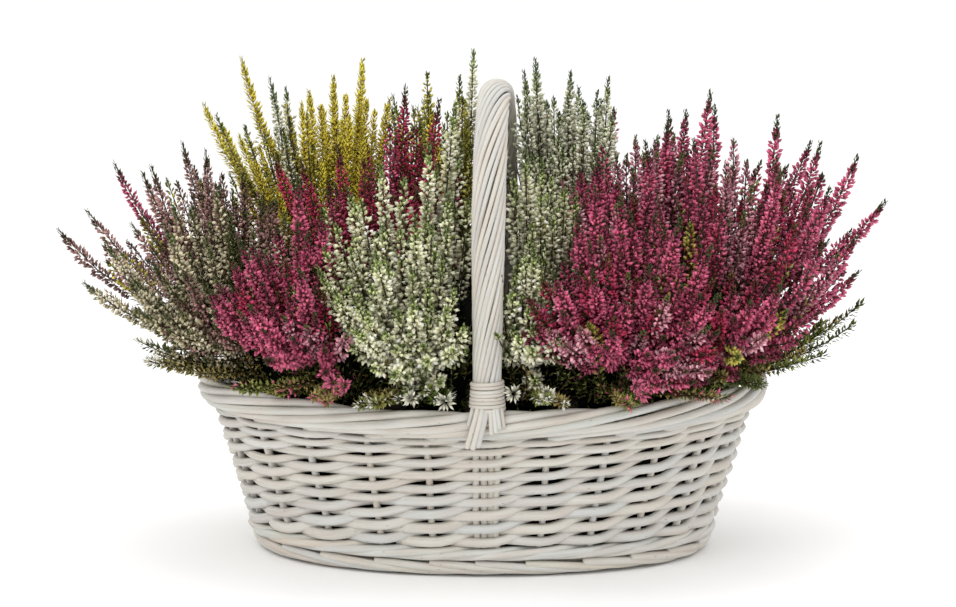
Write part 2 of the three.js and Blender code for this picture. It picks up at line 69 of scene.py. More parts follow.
# Node maths: an expression on a socket adds its Math nodes.
class Shade:
    # a socket and the tree that it is in
    def __init__(self, tree, socket):
        self.tree, self.socket = tree, socket

    # Adds a node of a type: settings first, then the values or links of its sockets.
    @staticmethod
    def node(tree, kind, settings, sockets, output=0):
        made = tree.nodes.new("ShaderNode" + kind)
        for name, value in settings.items():
            if name == "stops":
                ramp = made.color_ramp
                for number, (place, colour) in enumerate(value):
                    stop = ramp.elements[number] if number < 2 else ramp.elements.new(place)
                    stop.position, stop.color = place, (*colour, 1.0)
            else:
                setattr(made, name, value)
        for name, value in sockets.items():
            if isinstance(value, Shade):
                tree.links.new(value.socket, made.inputs[name])
            else:
                made.inputs[name].default_value = value
        return Shade(tree, made.outputs[output])

    # one Math node on two values or sockets; the operators below are its names in an expression
    def maths(self, operation, first, second):
        return Shade.node(self.tree, "Math", {"operation": operation}, {0: first, 1: second})

    def __add__(self, other):
        return self.maths("ADD", self, other)

    def __radd__(self, other):
        return self.maths("ADD", other, self)

    def __mul__(self, other):
        return self.maths("MULTIPLY", self, other)

    def __rmul__(self, other):
        return self.maths("MULTIPLY", other, self)


def linear(hexColour):
    # sRGB to linear: ((c + 0.055) / 1.055) to the power 2.4, or c / 12.92 when dark
    parts = [int(hexColour[i:i + 2], 16) / 255 for i in (0, 2, 4)]
    return tuple(((c + 0.055) / 1.055) ** 2.4 if c > 0.04 else c / 12.92 for c in parts)


def newMaterial(name, roughness, specular):
    # a material with its node tree and shader
    material = bpy.data.materials.new(name)
    material.use_nodes = True
    shader = material.node_tree.nodes["Principled BSDF"]
    shader.inputs["Roughness"].default_value = roughness
    shader.inputs["Specular IOR Level"].default_value = specular
    return material, material.node_tree, shader


def mixColours(tree, share, first, second, blend="MIX"):
    # first * (1 - share) + second * share, or first * second for MULTIPLY at share 1
    return Shade.node(tree, "Mix", {"data_type": "RGBA", "blend_type": blend},
                      {0: share, 6: first, 7: second}, output=2)


# White painted willow: lengthwise streaks that follow each rod, a tone for each rod, small knots.
# A stretch is the scale across and along a rod, and a fade is the texture's values at which a colour
# starts and is full.
willowFinish = {"paint": "cfcdc6", "worn": "aca092", "pink": "c6b8ac", "knot": "75685c",
                "wornShare": 0.45, "pinkShare": 0.55, "knotShare": 0.6,
                "streakStretch": (0.9, 0.035), "patchStretch": (0.25, 0.03), "knotStretch": (0.35, 0.11),
                "wornFade": (0.5, 0.72), "pinkFade": (0.42, 0.7), "knotFade": (0.03, 0.09),
                "streaks": 0.55, "patches": 0.8, "knots": 0.6, "roughness": 0.62, "wornRoughness": 0.16,
                "specular": 0.35, "bump": 0.35, "bumpHeight": 0.0006}


def willowMaterial(settings):
    # colour = paint, with pink patches, worn streaks and dark knots mixed in, times the rod's own tone;
    # the textures are stretched along the rod through its grain coordinates
    material, tree, shader = newMaterial("paintedWillow", settings["roughness"], settings["specular"])
    grain = Shade.node(tree, "Attribute", {"attribute_name": "grain"}, {}, output=1)
    tone = Shade.node(tree, "Attribute", {"attribute_name": "tint"}, {}, output=0)

    # a texture on the grain, stretched across and along the rod
    def texture(kind, stretch, sockets):
        across, along = stretch
        place = Shade.node(tree, "Mapping", {}, {"Vector": grain, "Scale": (across, across, along)})
        return Shade.node(tree, kind, {}, {"Vector": place, **sockets})

    # from first to second between the two values of a fade
    def ramp(value, fade, first=0, second=1):
        stops = [(fade[0], (first,) * 3), (fade[1], (second,) * 3)]
        return Shade.node(tree, "ValToRGB", {"stops": stops}, {"Fac": value})

    streak = texture("TexNoise", settings["streakStretch"],
                     {"Scale": settings["streaks"], "Detail": 5.0, "Roughness": 0.62})
    patch = texture("TexNoise", settings["patchStretch"], {"Scale": settings["patches"], "Detail": 3.0})
    knot = texture("TexVoronoi", settings["knotStretch"], {"Scale": settings["knots"], "Randomness": 1.0})
    worn = ramp(streak, settings["wornFade"])
    colour = (*linear(settings["paint"]), 1)
    for name, share in (("pink", ramp(patch, settings["pinkFade"]) * settings["pinkShare"]),
                        ("worn", worn * settings["wornShare"]),
                        ("knot", ramp(knot, settings["knotFade"], 1, 0) * settings["knotShare"])):
        colour = mixColours(tree, share, colour, (*linear(settings[name]), 1))
    colour = mixColours(tree, 1.0, colour, tone, "MULTIPLY")
    tree.links.new(colour.socket, shader.inputs["Base Color"])
    roughness = worn * settings["wornRoughness"] + settings["roughness"]
    tree.links.new(roughness.socket, shader.inputs["Roughness"])
    bump = Shade.node(tree, "Bump", {}, {"Strength": settings["bump"], "Distance": settings["bumpHeight"],
                                         "Height": streak})
    tree.links.new(bump.socket, shader.inputs["Normal"])
    return material


def plantMaterial(name, roughness, specular, grainSize, variation):
    # base colour = the point's own tint, lightened and darkened by a fine noise
    material, tree, shader = newMaterial(name, roughness, specular)
    place = Shade.node(tree, "TexCoord", {}, {}, output=3)
    tint = Shade.node(tree, "Attribute", {"attribute_name": "tint"}, {}, output=0)
    noise = Shade.node(tree, "TexNoise", {}, {"Vector": place, "Scale": grainSize, "Detail": 3.0})
    level = noise * (2 * variation) + (1 - variation)
    grey = Shade.node(tree, "CombineColor", {}, {0: level, 1: level, 2: level})
    colour = mixColours(tree, 1.0, tint, grey, "MULTIPLY")
    tree.links.new(colour.socket, shader.inputs["Base Color"])
    tree.links.new((noise * 0.2 + (roughness - 0.1)).socket, shader.inputs["Roughness"])
    return material


def plainMaterial(name, darkColour, lightColour, scale, roughness, bumpHeight):
    # base colour = a noise between two colours on the object's own place
    material, tree, shader = newMaterial(name, roughness, 0.25)
    place = Shade.node(tree, "TexCoord", {}, {}, output=3)
    noise = Shade.node(tree, "TexNoise", {},
                       {"Vector": place, "Scale": scale, "Detail": 6.0, "Roughness": 0.65})
    colour = mixColours(tree, noise, (*linear(darkColour), 1), (*linear(lightColour), 1))
    tree.links.new(colour.socket, shader.inputs["Base Color"])
    bump = Shade.node(tree, "Bump", {}, {"Strength": 0.6, "Distance": bumpHeight, "Height": noise})
    tree.links.new(bump.socket, shader.inputs["Normal"])
    return material


# Gathers surfaces and makes one piece of them.
class Gathered:
    def __init__(self):
        self.points, self.quads, self.tris, self.tints, self.grains, self.count = [], [], [], [], [], 0

    # adds points in millimetres and their faces; the tint is one for all or one for each point, and the
    # grain is the point itself where none is given
    def add(self, points, quads, tris, tint, grain=None):
        flat = points.reshape(-1, 3)
        self.points.append(flat)
        self.quads.append(quads.reshape(-1, 4) + self.count)
        self.tris.append(tris.reshape(-1, 3) + self.count)
        self.tints.append(np.broadcast_to(tint, points.shape).reshape(-1, 3))
        self.grains.append(flat if grain is None else grain.reshape(-1, 3))
        self.count += len(flat)

    # joins all that was added in one mesh in metres, smooth, with tint and grain as its attributes
    def piece(self, name, material, nodes):
        points, tints, grains = (np.concatenate(part) for part in (self.points, self.tints, self.grains))
        quads, tris = np.concatenate(self.quads), np.concatenate(self.tris)
        corners = np.concatenate([quads.ravel(), tris.ravel()])
        starts = np.concatenate([4 * np.arange(len(quads)), 4 * len(quads) + 3 * np.arange(len(tris))])
        mesh = bpy.data.meshes.new(name)
        mesh.vertices.add(len(points))
        mesh.vertices.foreach_set("co", (points * mm).astype(np.float32).ravel())
        mesh.loops.add(len(corners))
        mesh.loops.foreach_set("vertex_index", corners.astype(np.int32))
        mesh.polygons.add(len(starts))
        mesh.polygons.foreach_set("loop_start", starts.astype(np.int32))
        mesh.polygons.foreach_set("use_smooth", np.ones(len(starts), bool))
        colour = mesh.color_attributes.new(name="tint", type="FLOAT_COLOR", domain="POINT")
        colour.data.foreach_set("color", np.c_[tints, np.ones(len(tints))].astype(np.float32).ravel())
        grain = mesh.attributes.new(name="grain", type="FLOAT_VECTOR", domain="POINT")
        grain.data.foreach_set("vector", grains.astype(np.float32).ravel())
        mesh.update(calc_edges=True)
        mesh.materials.append(material)
        made = bpy.data.objects.new(name, mesh)
        bpy.context.scene.collection.objects.link(made)
        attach(made, "root")
        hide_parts(*nodes)
        print(f"{name}: {2 * len(quads) + len(tris)} triangles")
        return made


noQuads = np.zeros((0, 4), int)
upwards = np.array([0.0, 0.0, 1.0])


def unit(vectors):
    # each vector divided by its length
    return vectors / np.maximum(np.linalg.norm(vectors, axis=-1, keepdims=True), 1e-9)


def gridFaces(rows, columns):
    # quads between neighbouring rows; the last column joins the first
    i, j = np.meshgrid(np.arange(rows - 1), np.arange(columns), indexing="ij")
    nextJ = (j + 1) % columns
    return np.stack([i * columns + j, i * columns + nextJ, (i + 1) * columns + nextJ, (i + 1) * columns + j],
                    axis=-1).reshape(-1, 4)


def poleFaces(rows, columns):
    # triangles that close the first and last rows to the two points after the grid
    j = np.arange(columns)
    nextJ, last, pole = (j + 1) % columns, (rows - 1) * columns, rows * columns + 0 * j
    return np.concatenate([np.stack([pole, nextJ, j], axis=-1),
                           np.stack([pole + 1, last + j, last + nextJ], axis=-1)])


def addRods(gathered, paths, radii, outward, sides=8, tints=None, flat=1.0):
    # ring point = centre + radius * (flat * cos(a) * outward + sin(a) * side), side = tangent x outward;
    # a smaller ring and a middle point close each end
    count, steps = paths.shape[:2]
    radii = np.broadcast_to(radii, (count, steps))
    tangent = unit(np.gradient(paths, axis=1))
    side = unit(np.cross(tangent, np.broadcast_to(outward, paths.shape)))
    out = np.cross(side, tangent)
    gaps = np.linalg.norm(np.diff(paths, axis=1), axis=-1)
    length = np.concatenate([np.zeros((count, 1)), np.cumsum(gaps, axis=1)], axis=1)
    pick = np.r_[0, np.arange(steps), steps - 1]
    shrink = np.r_[0.72, np.ones(steps), 0.72]
    stand = np.r_[-0.3, np.zeros(steps), 0.3][:, None] * tangent[:, pick]
    centre, radii = paths[:, pick] + stand, radii[:, pick] * shrink
    side, out, length = side[:, pick], out[:, pick], length[:, pick]
    angle = turn * np.arange(sides) / sides
    cos, sin = np.cos(angle)[:, None], np.sin(angle)[:, None]
    radial = flat * cos * out[:, :, None] + sin * side[:, :, None]
    ring = centre[:, :, None] + radii[..., None, None] * radial
    poles = centre[:, [0, -1]]
    rings = steps + 2
    points = np.concatenate([ring.reshape(count, -1, 3), poles], axis=1)
    shift = 61.7 * np.arange(count)[:, None, None] + length[:, :, None]
    grain = np.stack([radii[..., None] * np.cos(angle), radii[..., None] * np.sin(angle),
                      np.broadcast_to(shift, radii.shape + (sides,))], axis=-1).reshape(count, -1, 3)
    grain = np.concatenate([grain, grain[:, [0, -1]]], axis=1)
    each = rings * sides + 2
    base = each * np.arange(count)[:, None, None]
    tints = np.ones((count, 3)) if tints is None else tints
    gathered.add(points, gridFaces(rings, sides)[None] + base, poleFaces(rings, sides)[None] + base,
                 tints[:, None], grain)


def seeded(span, count, power=1):
    # low + more * random ^ power, for a span of low and more
    low, more = span
    return low + more * rng.random(count) ** power


def rodTints(count, spread=0.07):
    # each rod is a little lighter or darker, and a little warmer or cooler
    light = 1 - spread * rng.random((count, 1))
    warm = 0.02 * rng.normal(size=(count, 1)) * np.array([[1.0, 0.0, -1.2]])
    return np.clip(light + warm, 0, 1)


def wander(count, steps, size, knots=9):
    # a smooth seeded drift along each rod: random values at a few knots, joined by cosine steps
    values = rng.normal(size=(count, knots)) * size
    place = np.linspace(0, knots - 1.001, steps)
    low = place.astype(int)
    share = (1 - np.cos(np.pi * (place - low))) / 2
    return values[:, low] * (1 - share) + values[:, low + 1] * share


# The basket's oval, its stakes, and the rise of its border towards both ends.
basket = {"ovalPower": 2.1, "footHalfLength": 150.0, "footHalfWidth": 100.5, "flareLength": 0.315,
          "flareWidth": 0.222, "endRise": 5.3, "stakes": 24, "shift": -2.2, "swing": 9.3}


def signedPower(value, power):
    # |value| ^ power with the value's own sign
    return np.sign(value) * np.abs(value) ** power


def wallPoint(angle, z, out):
    # oval of half sizes foot + flare * z + out, with each of cos and sin raised to 2 / ovalPower
    power = 2 / basket["ovalPower"]
    halfLength = basket["footHalfLength"] + basket["flareLength"] * z + out
    halfWidth = basket["footHalfWidth"] + basket["flareWidth"] * z + out
    return np.stack(np.broadcast_arrays(halfLength * signedPower(np.cos(angle), power),
                                        halfWidth * signedPower(np.sin(angle), power), z), axis=-1)


def wallNormal(angle):
    # the wall's outward direction: its horizontal tangent turned by a quarter
    ahead = wallPoint(angle + 0.01, 50.0, 0.0) - wallPoint(angle - 0.01, 50.0, 0.0)
    return unit(np.stack([ahead[..., 1], -ahead[..., 0], np.zeros_like(ahead[..., 0])], axis=-1))


def evenAngles():
    # the oval's length from +X at half height, against its angle
    fine = np.linspace(0, turn, 3601)
    points = wallPoint(fine, 60.0, -4.0)
    return fine, np.r_[0, np.cumsum(np.linalg.norm(np.diff(points, axis=0), axis=1))]


ovalAngles, ovalLengths = evenAngles()


def stakeAngle(number):
    # stakes stand at even lengths round the oval, moved a little so that one stands at each handle foot:
    # length = number * pitch + shift - swing * sin(the number's share of a turn)
    whole = ovalLengths[-1]
    length = number * whole / basket["stakes"] + basket["shift"] \
        - basket["swing"] * np.sin(turn * number / basket["stakes"])
    rounds = np.floor(length / whole)
    return np.interp(length - rounds * whole, ovalLengths, ovalAngles) + turn * rounds


def endRise(angle):
    # rise * cos^2, so most at the two ends
    return basket["endRise"] * np.cos(angle) ** 2


willow = willowMaterial(willowFinish)

# Woven wall: each rod starts at its own stake and climbs to the right, before one stake and behind
# the next, so that the thick ends lie low and the thin ends high.
wallWeave = {"rowHeights": [23.2, 32.7, 42.2, 51.0, 59.6, 68.5, 77.2, 84.6, 90.4, 94.6], "behindShare": 0.75,
             "middle": -5.2, "swing": 3.7, "thick": 3.45, "thin": 2.3, "reach": 17.2, "before": 0.7,
             "steps": 6, "stakeRadius": 2.3, "drift": 0.4, "handleStakes": [6, 18], "stakeGap": 0.125}


def weaveWall(settings):
    # rod k at j steps past its stake: out = middle + swing * cos(pi j); its row is j / 2 in front and
    # (j - 1) / 2 + behindShare behind, joined by cosine steps
    gathered = Gathered()
    count = basket["stakes"]
    steps = int((settings["reach"] + settings["before"]) * settings["steps"])
    along = np.linspace(-settings["before"], settings["reach"], steps)
    whole = np.floor(along)
    part = (1 - np.cos(np.pi * (along - whole))) / 2

    # the row at whole steps: even ones stand in front of a stake, odd ones behind
    def rowAt(j):
        return np.where(j % 2 == 0, j / 2, (j - 1) / 2 + settings["behindShare"])

    row = np.clip(rowAt(whole) * (1 - part) + rowAt(whole + 1) * part, 0, None)
    angle = stakeAngle(np.arange(count)[:, None] + along[None])
    heights = np.array(settings["rowHeights"])
    z = np.interp(row, np.arange(len(heights)), heights)[None] + wander(count, steps, settings["drift"], 18)
    z = z + endRise(angle) * row[None] / 9
    radius = np.interp(along, [0, 18], [settings["thick"], settings["thin"]])[None]
    radius = radius * (1 + 0.06 * rng.normal(size=(count, 1)))
    out = settings["middle"] + (settings["swing"] + 0.35 * (radius - 2.6)) * np.cos(np.pi * along)[None]
    out = out + wander(count, steps, 0.25, 18)
    addRods(gathered, wallPoint(angle, z, out), radius, wallNormal(angle), 7, rodTints(count))
    # the upright stakes, with four rods side by side where the handle goes down into the wall
    level = np.linspace(9.0, 101.0, 9)[None]
    numbers = np.arange(count, dtype=float)
    extra = np.concatenate([np.arange(-1.5, 2) * settings["stakeGap"] + number
                            for number in settings["handleStakes"]])
    numbers = np.concatenate([np.delete(numbers, settings["handleStakes"]), extra])
    angle = stakeAngle(numbers[:, None] + wander(len(numbers), 9, 0.02, 4))
    addRods(gathered, wallPoint(angle, level + endRise(angle) * level / 100, settings["middle"] + 0 * angle),
            settings["stakeRadius"] * (1 + 0.08 * rng.normal(size=(len(numbers), 1))), wallNormal(angle), 8,
            rodTints(len(numbers)))
    return gathered.piece("wovenWall", willow, ["woven_wall"])


weaveWall(wallWeave)

# Lower wale: long rods that pass before two stakes and behind the third, each rising to the right.
waleWeave = {"radius": 2.6, "steps": 30, "drift": 0.3, "rise": 0.0,
             "places": [-0.45, 0.1, 0.8, 1.5, 2.2, 2.7, 3.1],
             "heights": [12.4, 12.9, 13.7, 15.4, 17.2, 17.6, 17.2],
             "outs": [-8.5, -4.0, -0.3, 0.3, -2.0, -5.8, -8.6]}


def layRods(name, nodes, settings, extraRods=None):
    # rod k follows heights and outs that are given at places counted in stakes from stake k
    gathered = Gathered()
    count = basket["stakes"]
    along = np.linspace(settings["places"][0], settings["places"][-1], settings["steps"])
    smooth = np.linspace(-1, 1, 5)[:, None] * 0.25 + along[None]
    z = np.interp(smooth, settings["places"], settings["heights"]).mean(axis=0)
    out = np.interp(smooth, settings["places"], settings["outs"]).mean(axis=0)
    angle = stakeAngle(np.arange(count)[:, None] + along[None] + 0.05 * rng.normal(size=(count, 1)))
    z = z[None] + wander(count, len(along), settings["drift"], 6)
    z = z + endRise(angle) * settings["rise"]
    radius = settings["radius"] * (1 + 0.07 * rng.normal(size=(count, 1))) * np.ones((1, len(along)))
    addRods(gathered, wallPoint(angle, z, out[None] + 0 * z), radius, wallNormal(angle), 7, rodTints(count))
    if extraRods:
        extraRods(gathered)
    return gathered.piece(name, willow, nodes)


layRods("lowerWale", ["lower_wale"], waleWeave)

# Foot border: each rod starts with a cut end under the wale and slants down to the right.
footWeave = {"radius": 2.7, "steps": 28, "drift": 0.12, "rise": 0.0,
             "places": [-0.15, 0.4, 1.0, 1.6, 2.2, 2.8], "heights": [8.9, 7.7, 5.9, 4.3, 3.4, 3.35],
             "outs": [-1.4, -0.9, -0.9, -1.8, -4.2, -8.0]}


def footHoops(gathered):
    # two plain hoops behind the slanting rods carry them
    angle = np.linspace(0, turn, 97)[None] + np.array([[0.0], [0.13]])
    z = np.array([[3.2], [9.6]]) + 0 * angle
    addRods(gathered, wallPoint(angle, z, -8.6 + 0 * z), 2.7, wallNormal(angle), 8, rodTints(2, 0.2))


layRods("footBorder", ["foot_border"], footWeave, footHoops)

# Rim border: every stake bends over to the right, lies low outside, climbs and ends inside.
rimWeave = {"radius": 2.95, "steps": 54, "drift": 0.5, "rise": 1.0,
            "places": [0.0, 0.4, 1.0, 1.8, 2.3, 2.8, 3.3, 3.9, 4.5, 5.1, 5.5],
            "heights": [92.8, 96.2, 97.4, 99.3, 101.6, 104.6, 107.4, 109.6, 108.8, 105.0, 101.0],
            "outs": [-4.5, 0.4, 2.6, 3.3, 3.5, 3.0, 1.6, -1.8, -5.4, -7.2, -7.6]}
layRods("rimBorder", ["rim_border"], rimWeave)
print("basket woven")

# Handle: strands laid round a core in a rope, slimmer towards its feet.
handle = {"x": 9.3, "skew": 0.018, "halfSpan": 122.0, "footHeight": 104.0, "topHeight": 302.2, "power": 2.5,
          "strands": 16, "strandRadius": 1.68, "coreAcross": 9.0, "coreDeep": 7.25, "coreInset": 1.4,
          "turns": -2.5, "steps": 112, "slimHeights": [114, 135, 165, 215],
          "slimShares": [0.79, 0.81, 0.88, 1.0]}


def bowPoint(t):
    # x = x0 + skew y, y = -halfSpan cos^p, z = foot + rise sin^p at the angle pi t, with p = 2 / power
    power = 2 / handle["power"]
    foot, top = handle["footHeight"], handle["topHeight"]
    y = -handle["halfSpan"] * signedPower(np.cos(np.pi * t), power)
    z = foot + (top - foot) * signedPower(np.sin(np.pi * t), power)
    return np.stack([handle["x"] + handle["skew"] * y, y, z], axis=-1)


def evenBow(steps):
    # the bow at even lengths, from a fine table of its length
    fine = np.linspace(0, 1, 2001)
    points = bowPoint(fine)
    length = np.r_[0, np.cumsum(np.linalg.norm(np.diff(points, axis=0), axis=1))]
    return bowPoint(np.interp(np.linspace(0, length[-1], steps), length, fine))


def twistHandle(settings):
    # strand s: centre + across * A cos(a) + outward * D sin(a), a = s / strands of a turn + turns * t
    gathered = Gathered()
    centre = evenBow(settings["steps"])
    tangent = unit(np.gradient(centre, axis=0))
    across = np.array([1.0, 0.0, 0.0])
    outward = unit(np.cross(across, tangent))
    t = np.linspace(0, 1, settings["steps"])
    count = settings["strands"]
    angle = turn * (np.arange(count)[:, None] / count + settings["turns"] * t[None])
    angle = angle + wander(count, settings["steps"], 0.035, 14)
    lift = 1 + 0.012 * wander(count, settings["steps"], 1.0, 14)
    lift = lift * np.interp(centre[:, 2], settings["slimHeights"], settings["slimShares"])[None]
    radial = (settings["coreAcross"] * np.cos(angle) * lift)[..., None] * across \
        + (settings["coreDeep"] * np.sin(angle) * lift)[..., None] * outward[None]
    radius = settings["strandRadius"] * (1 + 0.05 * rng.normal(size=(count, 1)))
    addRods(gathered, centre[None] + radial, radius, unit(radial), 6, rodTints(count, 0.05))
    # a core under the strands, tinted at 0.4 of a rod: painted shade in the grooves between them
    core = np.ones((1, settings["steps"])) * (settings["coreDeep"] - settings["coreInset"])
    addRods(gathered, centre[None], core, outward[None], 10, rodTints(1) * 0.4)
    return gathered.piece("handleBow", willow, ["handle_bow"])


twistHandle(handle)

# Bindings: cane wrapped round both feet of the handle.
binding = {"bottom": 113.6, "top": 131.3, "turns": 7.6, "cane": 1.2, "across": 8.5, "deep": 7.4,
           "steps": 230, "flare": 1.3}


def bindHandle(side, settings):
    # helix: x = foot + (across + cane) cos a, y = foot + (deep + cane) sin a, z rises with a; the first
    # turns are wider, and every turn is a little uneven
    gathered = Gathered()
    steps = settings["steps"]
    angle = np.linspace(0, turn * settings["turns"], steps)[None] - turn / 4
    z = np.linspace(settings["bottom"], settings["top"], steps)[None] + wander(1, steps, 0.22, 30)
    foot = bowAt(z[0], side)
    room = settings["cane"] + settings["flare"] * np.linspace(1.0, 0.0, steps)[None] ** 1.6 \
        + wander(1, steps, 0.12, 30)
    radial = np.stack([np.cos(angle), np.sin(angle), 0 * angle], axis=-1)
    grow = np.stack([settings["across"] + room, settings["deep"] + room, 0 * room], axis=-1)
    path = foot[None] + radial * grow
    path[..., 2] = z
    addRods(gathered, path, settings["cane"], radial, 8, rodTints(1), flat=0.8)
    word = "front" if side < 0 else "back"
    return gathered.piece(f"handleBinding_{word}", willow, [f"handle_binding_{word}"])


def bowAt(z, side):
    # the bow's leg on one side at a height, from a fine table of it
    t = np.linspace(0, 0.5, 1500) if side < 0 else np.linspace(1, 0.5, 1500)
    points = bowPoint(t)
    return np.stack([np.interp(z, points[:, 2], points[:, 0]), np.interp(z, points[:, 2], points[:, 1]), z],
                    axis=-1)


# Tails: rod ends under each binding, spread in an upturned V over the border.
tails = {"radius": 1.75, "rimFront": 132.4, "tops": [-5.6, -2.6, 0.2, 2.2, 4.4, 6.4, -8.8, 8.9],
         "spreads": [-12.4, -8.8, -5.4, 3.0, 5.8, 8.0, -11.2, 10.4],
         "starts": [115.0, 115.0, 115.0, 115.0, 115.0, 115.0, 114.5, 114.5],
         "ends": [90.2, 89.6, 90.8, 99.0, 100.2, 102.5, 104.0, 103.0],
         "depths": [0.0, 0.1, 0.0, -0.6, -0.4, -0.8, -2.6, -2.6]}


def layTails(side, settings):
    # each rod runs from under the binding over the border, spreading to its own end
    gathered = Gathered()
    foot = bowPoint(np.array(0.0 if side < 0 else 1.0))
    share = np.linspace(0, 1, 14)[None]
    tops, spreads, starts, ends, depths = (np.array(settings[key])[:, None]
                                           for key in ("tops", "spreads", "starts", "ends", "depths"))
    x = foot[0] + tops + (spreads - tops) * share ** 1.1
    z = starts + (ends - starts) * share
    depth = settings["rimFront"] + depths - 3.2 * np.clip(1 - share / 0.3, 0, 1) ** 2 \
        - 0.9 * np.clip(share - 0.5, 0, 1)
    path = np.stack([x, side * depth, z], axis=-1)
    radius = settings["radius"] * np.where(np.arange(len(tops)) < 3, 1.0, 0.86)[:, None]
    addRods(gathered, path, radius, np.array([0.0, side, 0.0]), 10, rodTints(len(tops)))
    word = "front" if side < 0 else "back"
    return gathered.piece(f"handleTails_{word}", willow, [f"handle_tails_{word}"])


for side in (-1, 1):
    bindHandle(side, binding)
    layTails(side, tails)
print("handle twisted")

# Base mat: oval hoops woven over and under crossing sticks.
baseSettings = {"halfLength": 139.6, "halfWidth": 89.6, "middle": 10.0, "swing": 2.1, "hoops": 13,
                "sticks": 12, "rod": 2.2, "stick": 2.0, "stickShare": 0.97}


def weaveBase(settings):
    # hoop k: an oval at a share of the full size, whose height swings over and under the sticks
    gathered = Gathered()
    count, steps = settings["hoops"], 97
    share = (np.arange(count)[:, None] + 1.0) / count
    angle = np.linspace(0, turn, steps)[None] + 0 * share
    phase = np.arange(count)[:, None] % 2 * np.pi
    power = 2 / basket["ovalPower"]
    size = share * (1 - settings["rod"] / settings["halfLength"])
    height = settings["middle"] + settings["swing"] * np.cos(settings["sticks"] * angle + phase)
    path = np.stack([settings["halfLength"] * size * signedPower(np.cos(angle), power),
                     settings["halfWidth"] * size * signedPower(np.sin(angle), power), height], axis=-1)
    addRods(gathered, path, settings["rod"], upwards, 5, rodTints(count))
    angle = np.pi * np.arange(settings["sticks"]) / settings["sticks"]
    ends = np.stack([settings["halfLength"] * settings["stickShare"] * np.cos(angle),
                     settings["halfWidth"] * settings["stickShare"] * np.sin(angle),
                     0 * angle + settings["middle"]], axis=-1)
    along = np.linspace(-1, 1, 9)[None, :, None]
    path = ends[:, None] * along
    path[..., 2] = settings["middle"]
    addRods(gathered, path, settings["stick"], upwards, 6, rodTints(len(angle)))
    return gathered.piece("baseMat", willow, ["base_mat"])


weaveBase(baseSettings)

# Liner: a thin dark cup inside the weave.
linerSettings = {"inset": -13.2, "thickness": 1.3, "bottom": 15.8, "top": 97.6, "columns": 72,
                 "dark": "0f0e0c", "light": "211f1b"}


def shapeLiner(settings):
    # rings of the wall's oval, down the outside, over the lip and down the inside, closed at both middles
    angle = turn * np.arange(settings["columns"]) / settings["columns"]
    inset, wall, low, high = settings["inset"], settings["thickness"], settings["bottom"], settings["top"]
    rings = [(low, inset - 60), (low, inset - 8), (low + 3, inset - 2.5), (low + 9, inset), (60, inset),
             (high, inset), (high, inset - wall), (60, inset - wall), (low + 9.5, inset - wall),
             (low + 4, inset - wall - 3), (low + wall, inset - 9), (low + wall, inset - 60)]
    points = np.concatenate([wallPoint(angle, np.full_like(angle, z) + endRise(angle) * (z == high), out)
                             for z, out in rings] + [[[0, 0, low], [0, 0, low + wall]]])
    gathered = Gathered()
    gathered.add(points, gridFaces(len(rings), len(angle)), poleFaces(len(rings), len(angle)), np.ones(3))
    finish = plainMaterial("darkLiner", settings["dark"], settings["light"], 60, 0.5, 0.0004)
    return gathered.piece("planterLiner", finish, ["planter_liner"])


shapeLiner(linerSettings)

# Soil: a crowned heap with loose crumbs on it, over a plain cup.
soilSettings = {"edge": 94.5, "crown": 99.5, "inset": -15.4, "rings": 26, "columns": 120, "floor": 18.0,
                "crumbs": 900, "crumbSize": (0.8, 1.8), "crumbReach": 0.98, "sink": 0.6, "dark": "17110c",
                "light": "3a2c20", "lumps": ((9.0, 0.9, 3), (4.0, 0.6, 4))}  # size, height, seed


def noiseField(x, y, size, seed):
    # a smooth field: the mean of eight sine waves in seeded directions
    local = np.random.default_rng(seed)
    heading, phase = local.random(8) * turn, local.random(8) * turn
    stretch = size * (0.6 + local.random(8))
    waves = [np.sin((x * math.cos(h) + y * math.sin(h)) / s * turn + p)
             for h, s, p in zip(heading, stretch, phase)]
    return sum(waves) / 4


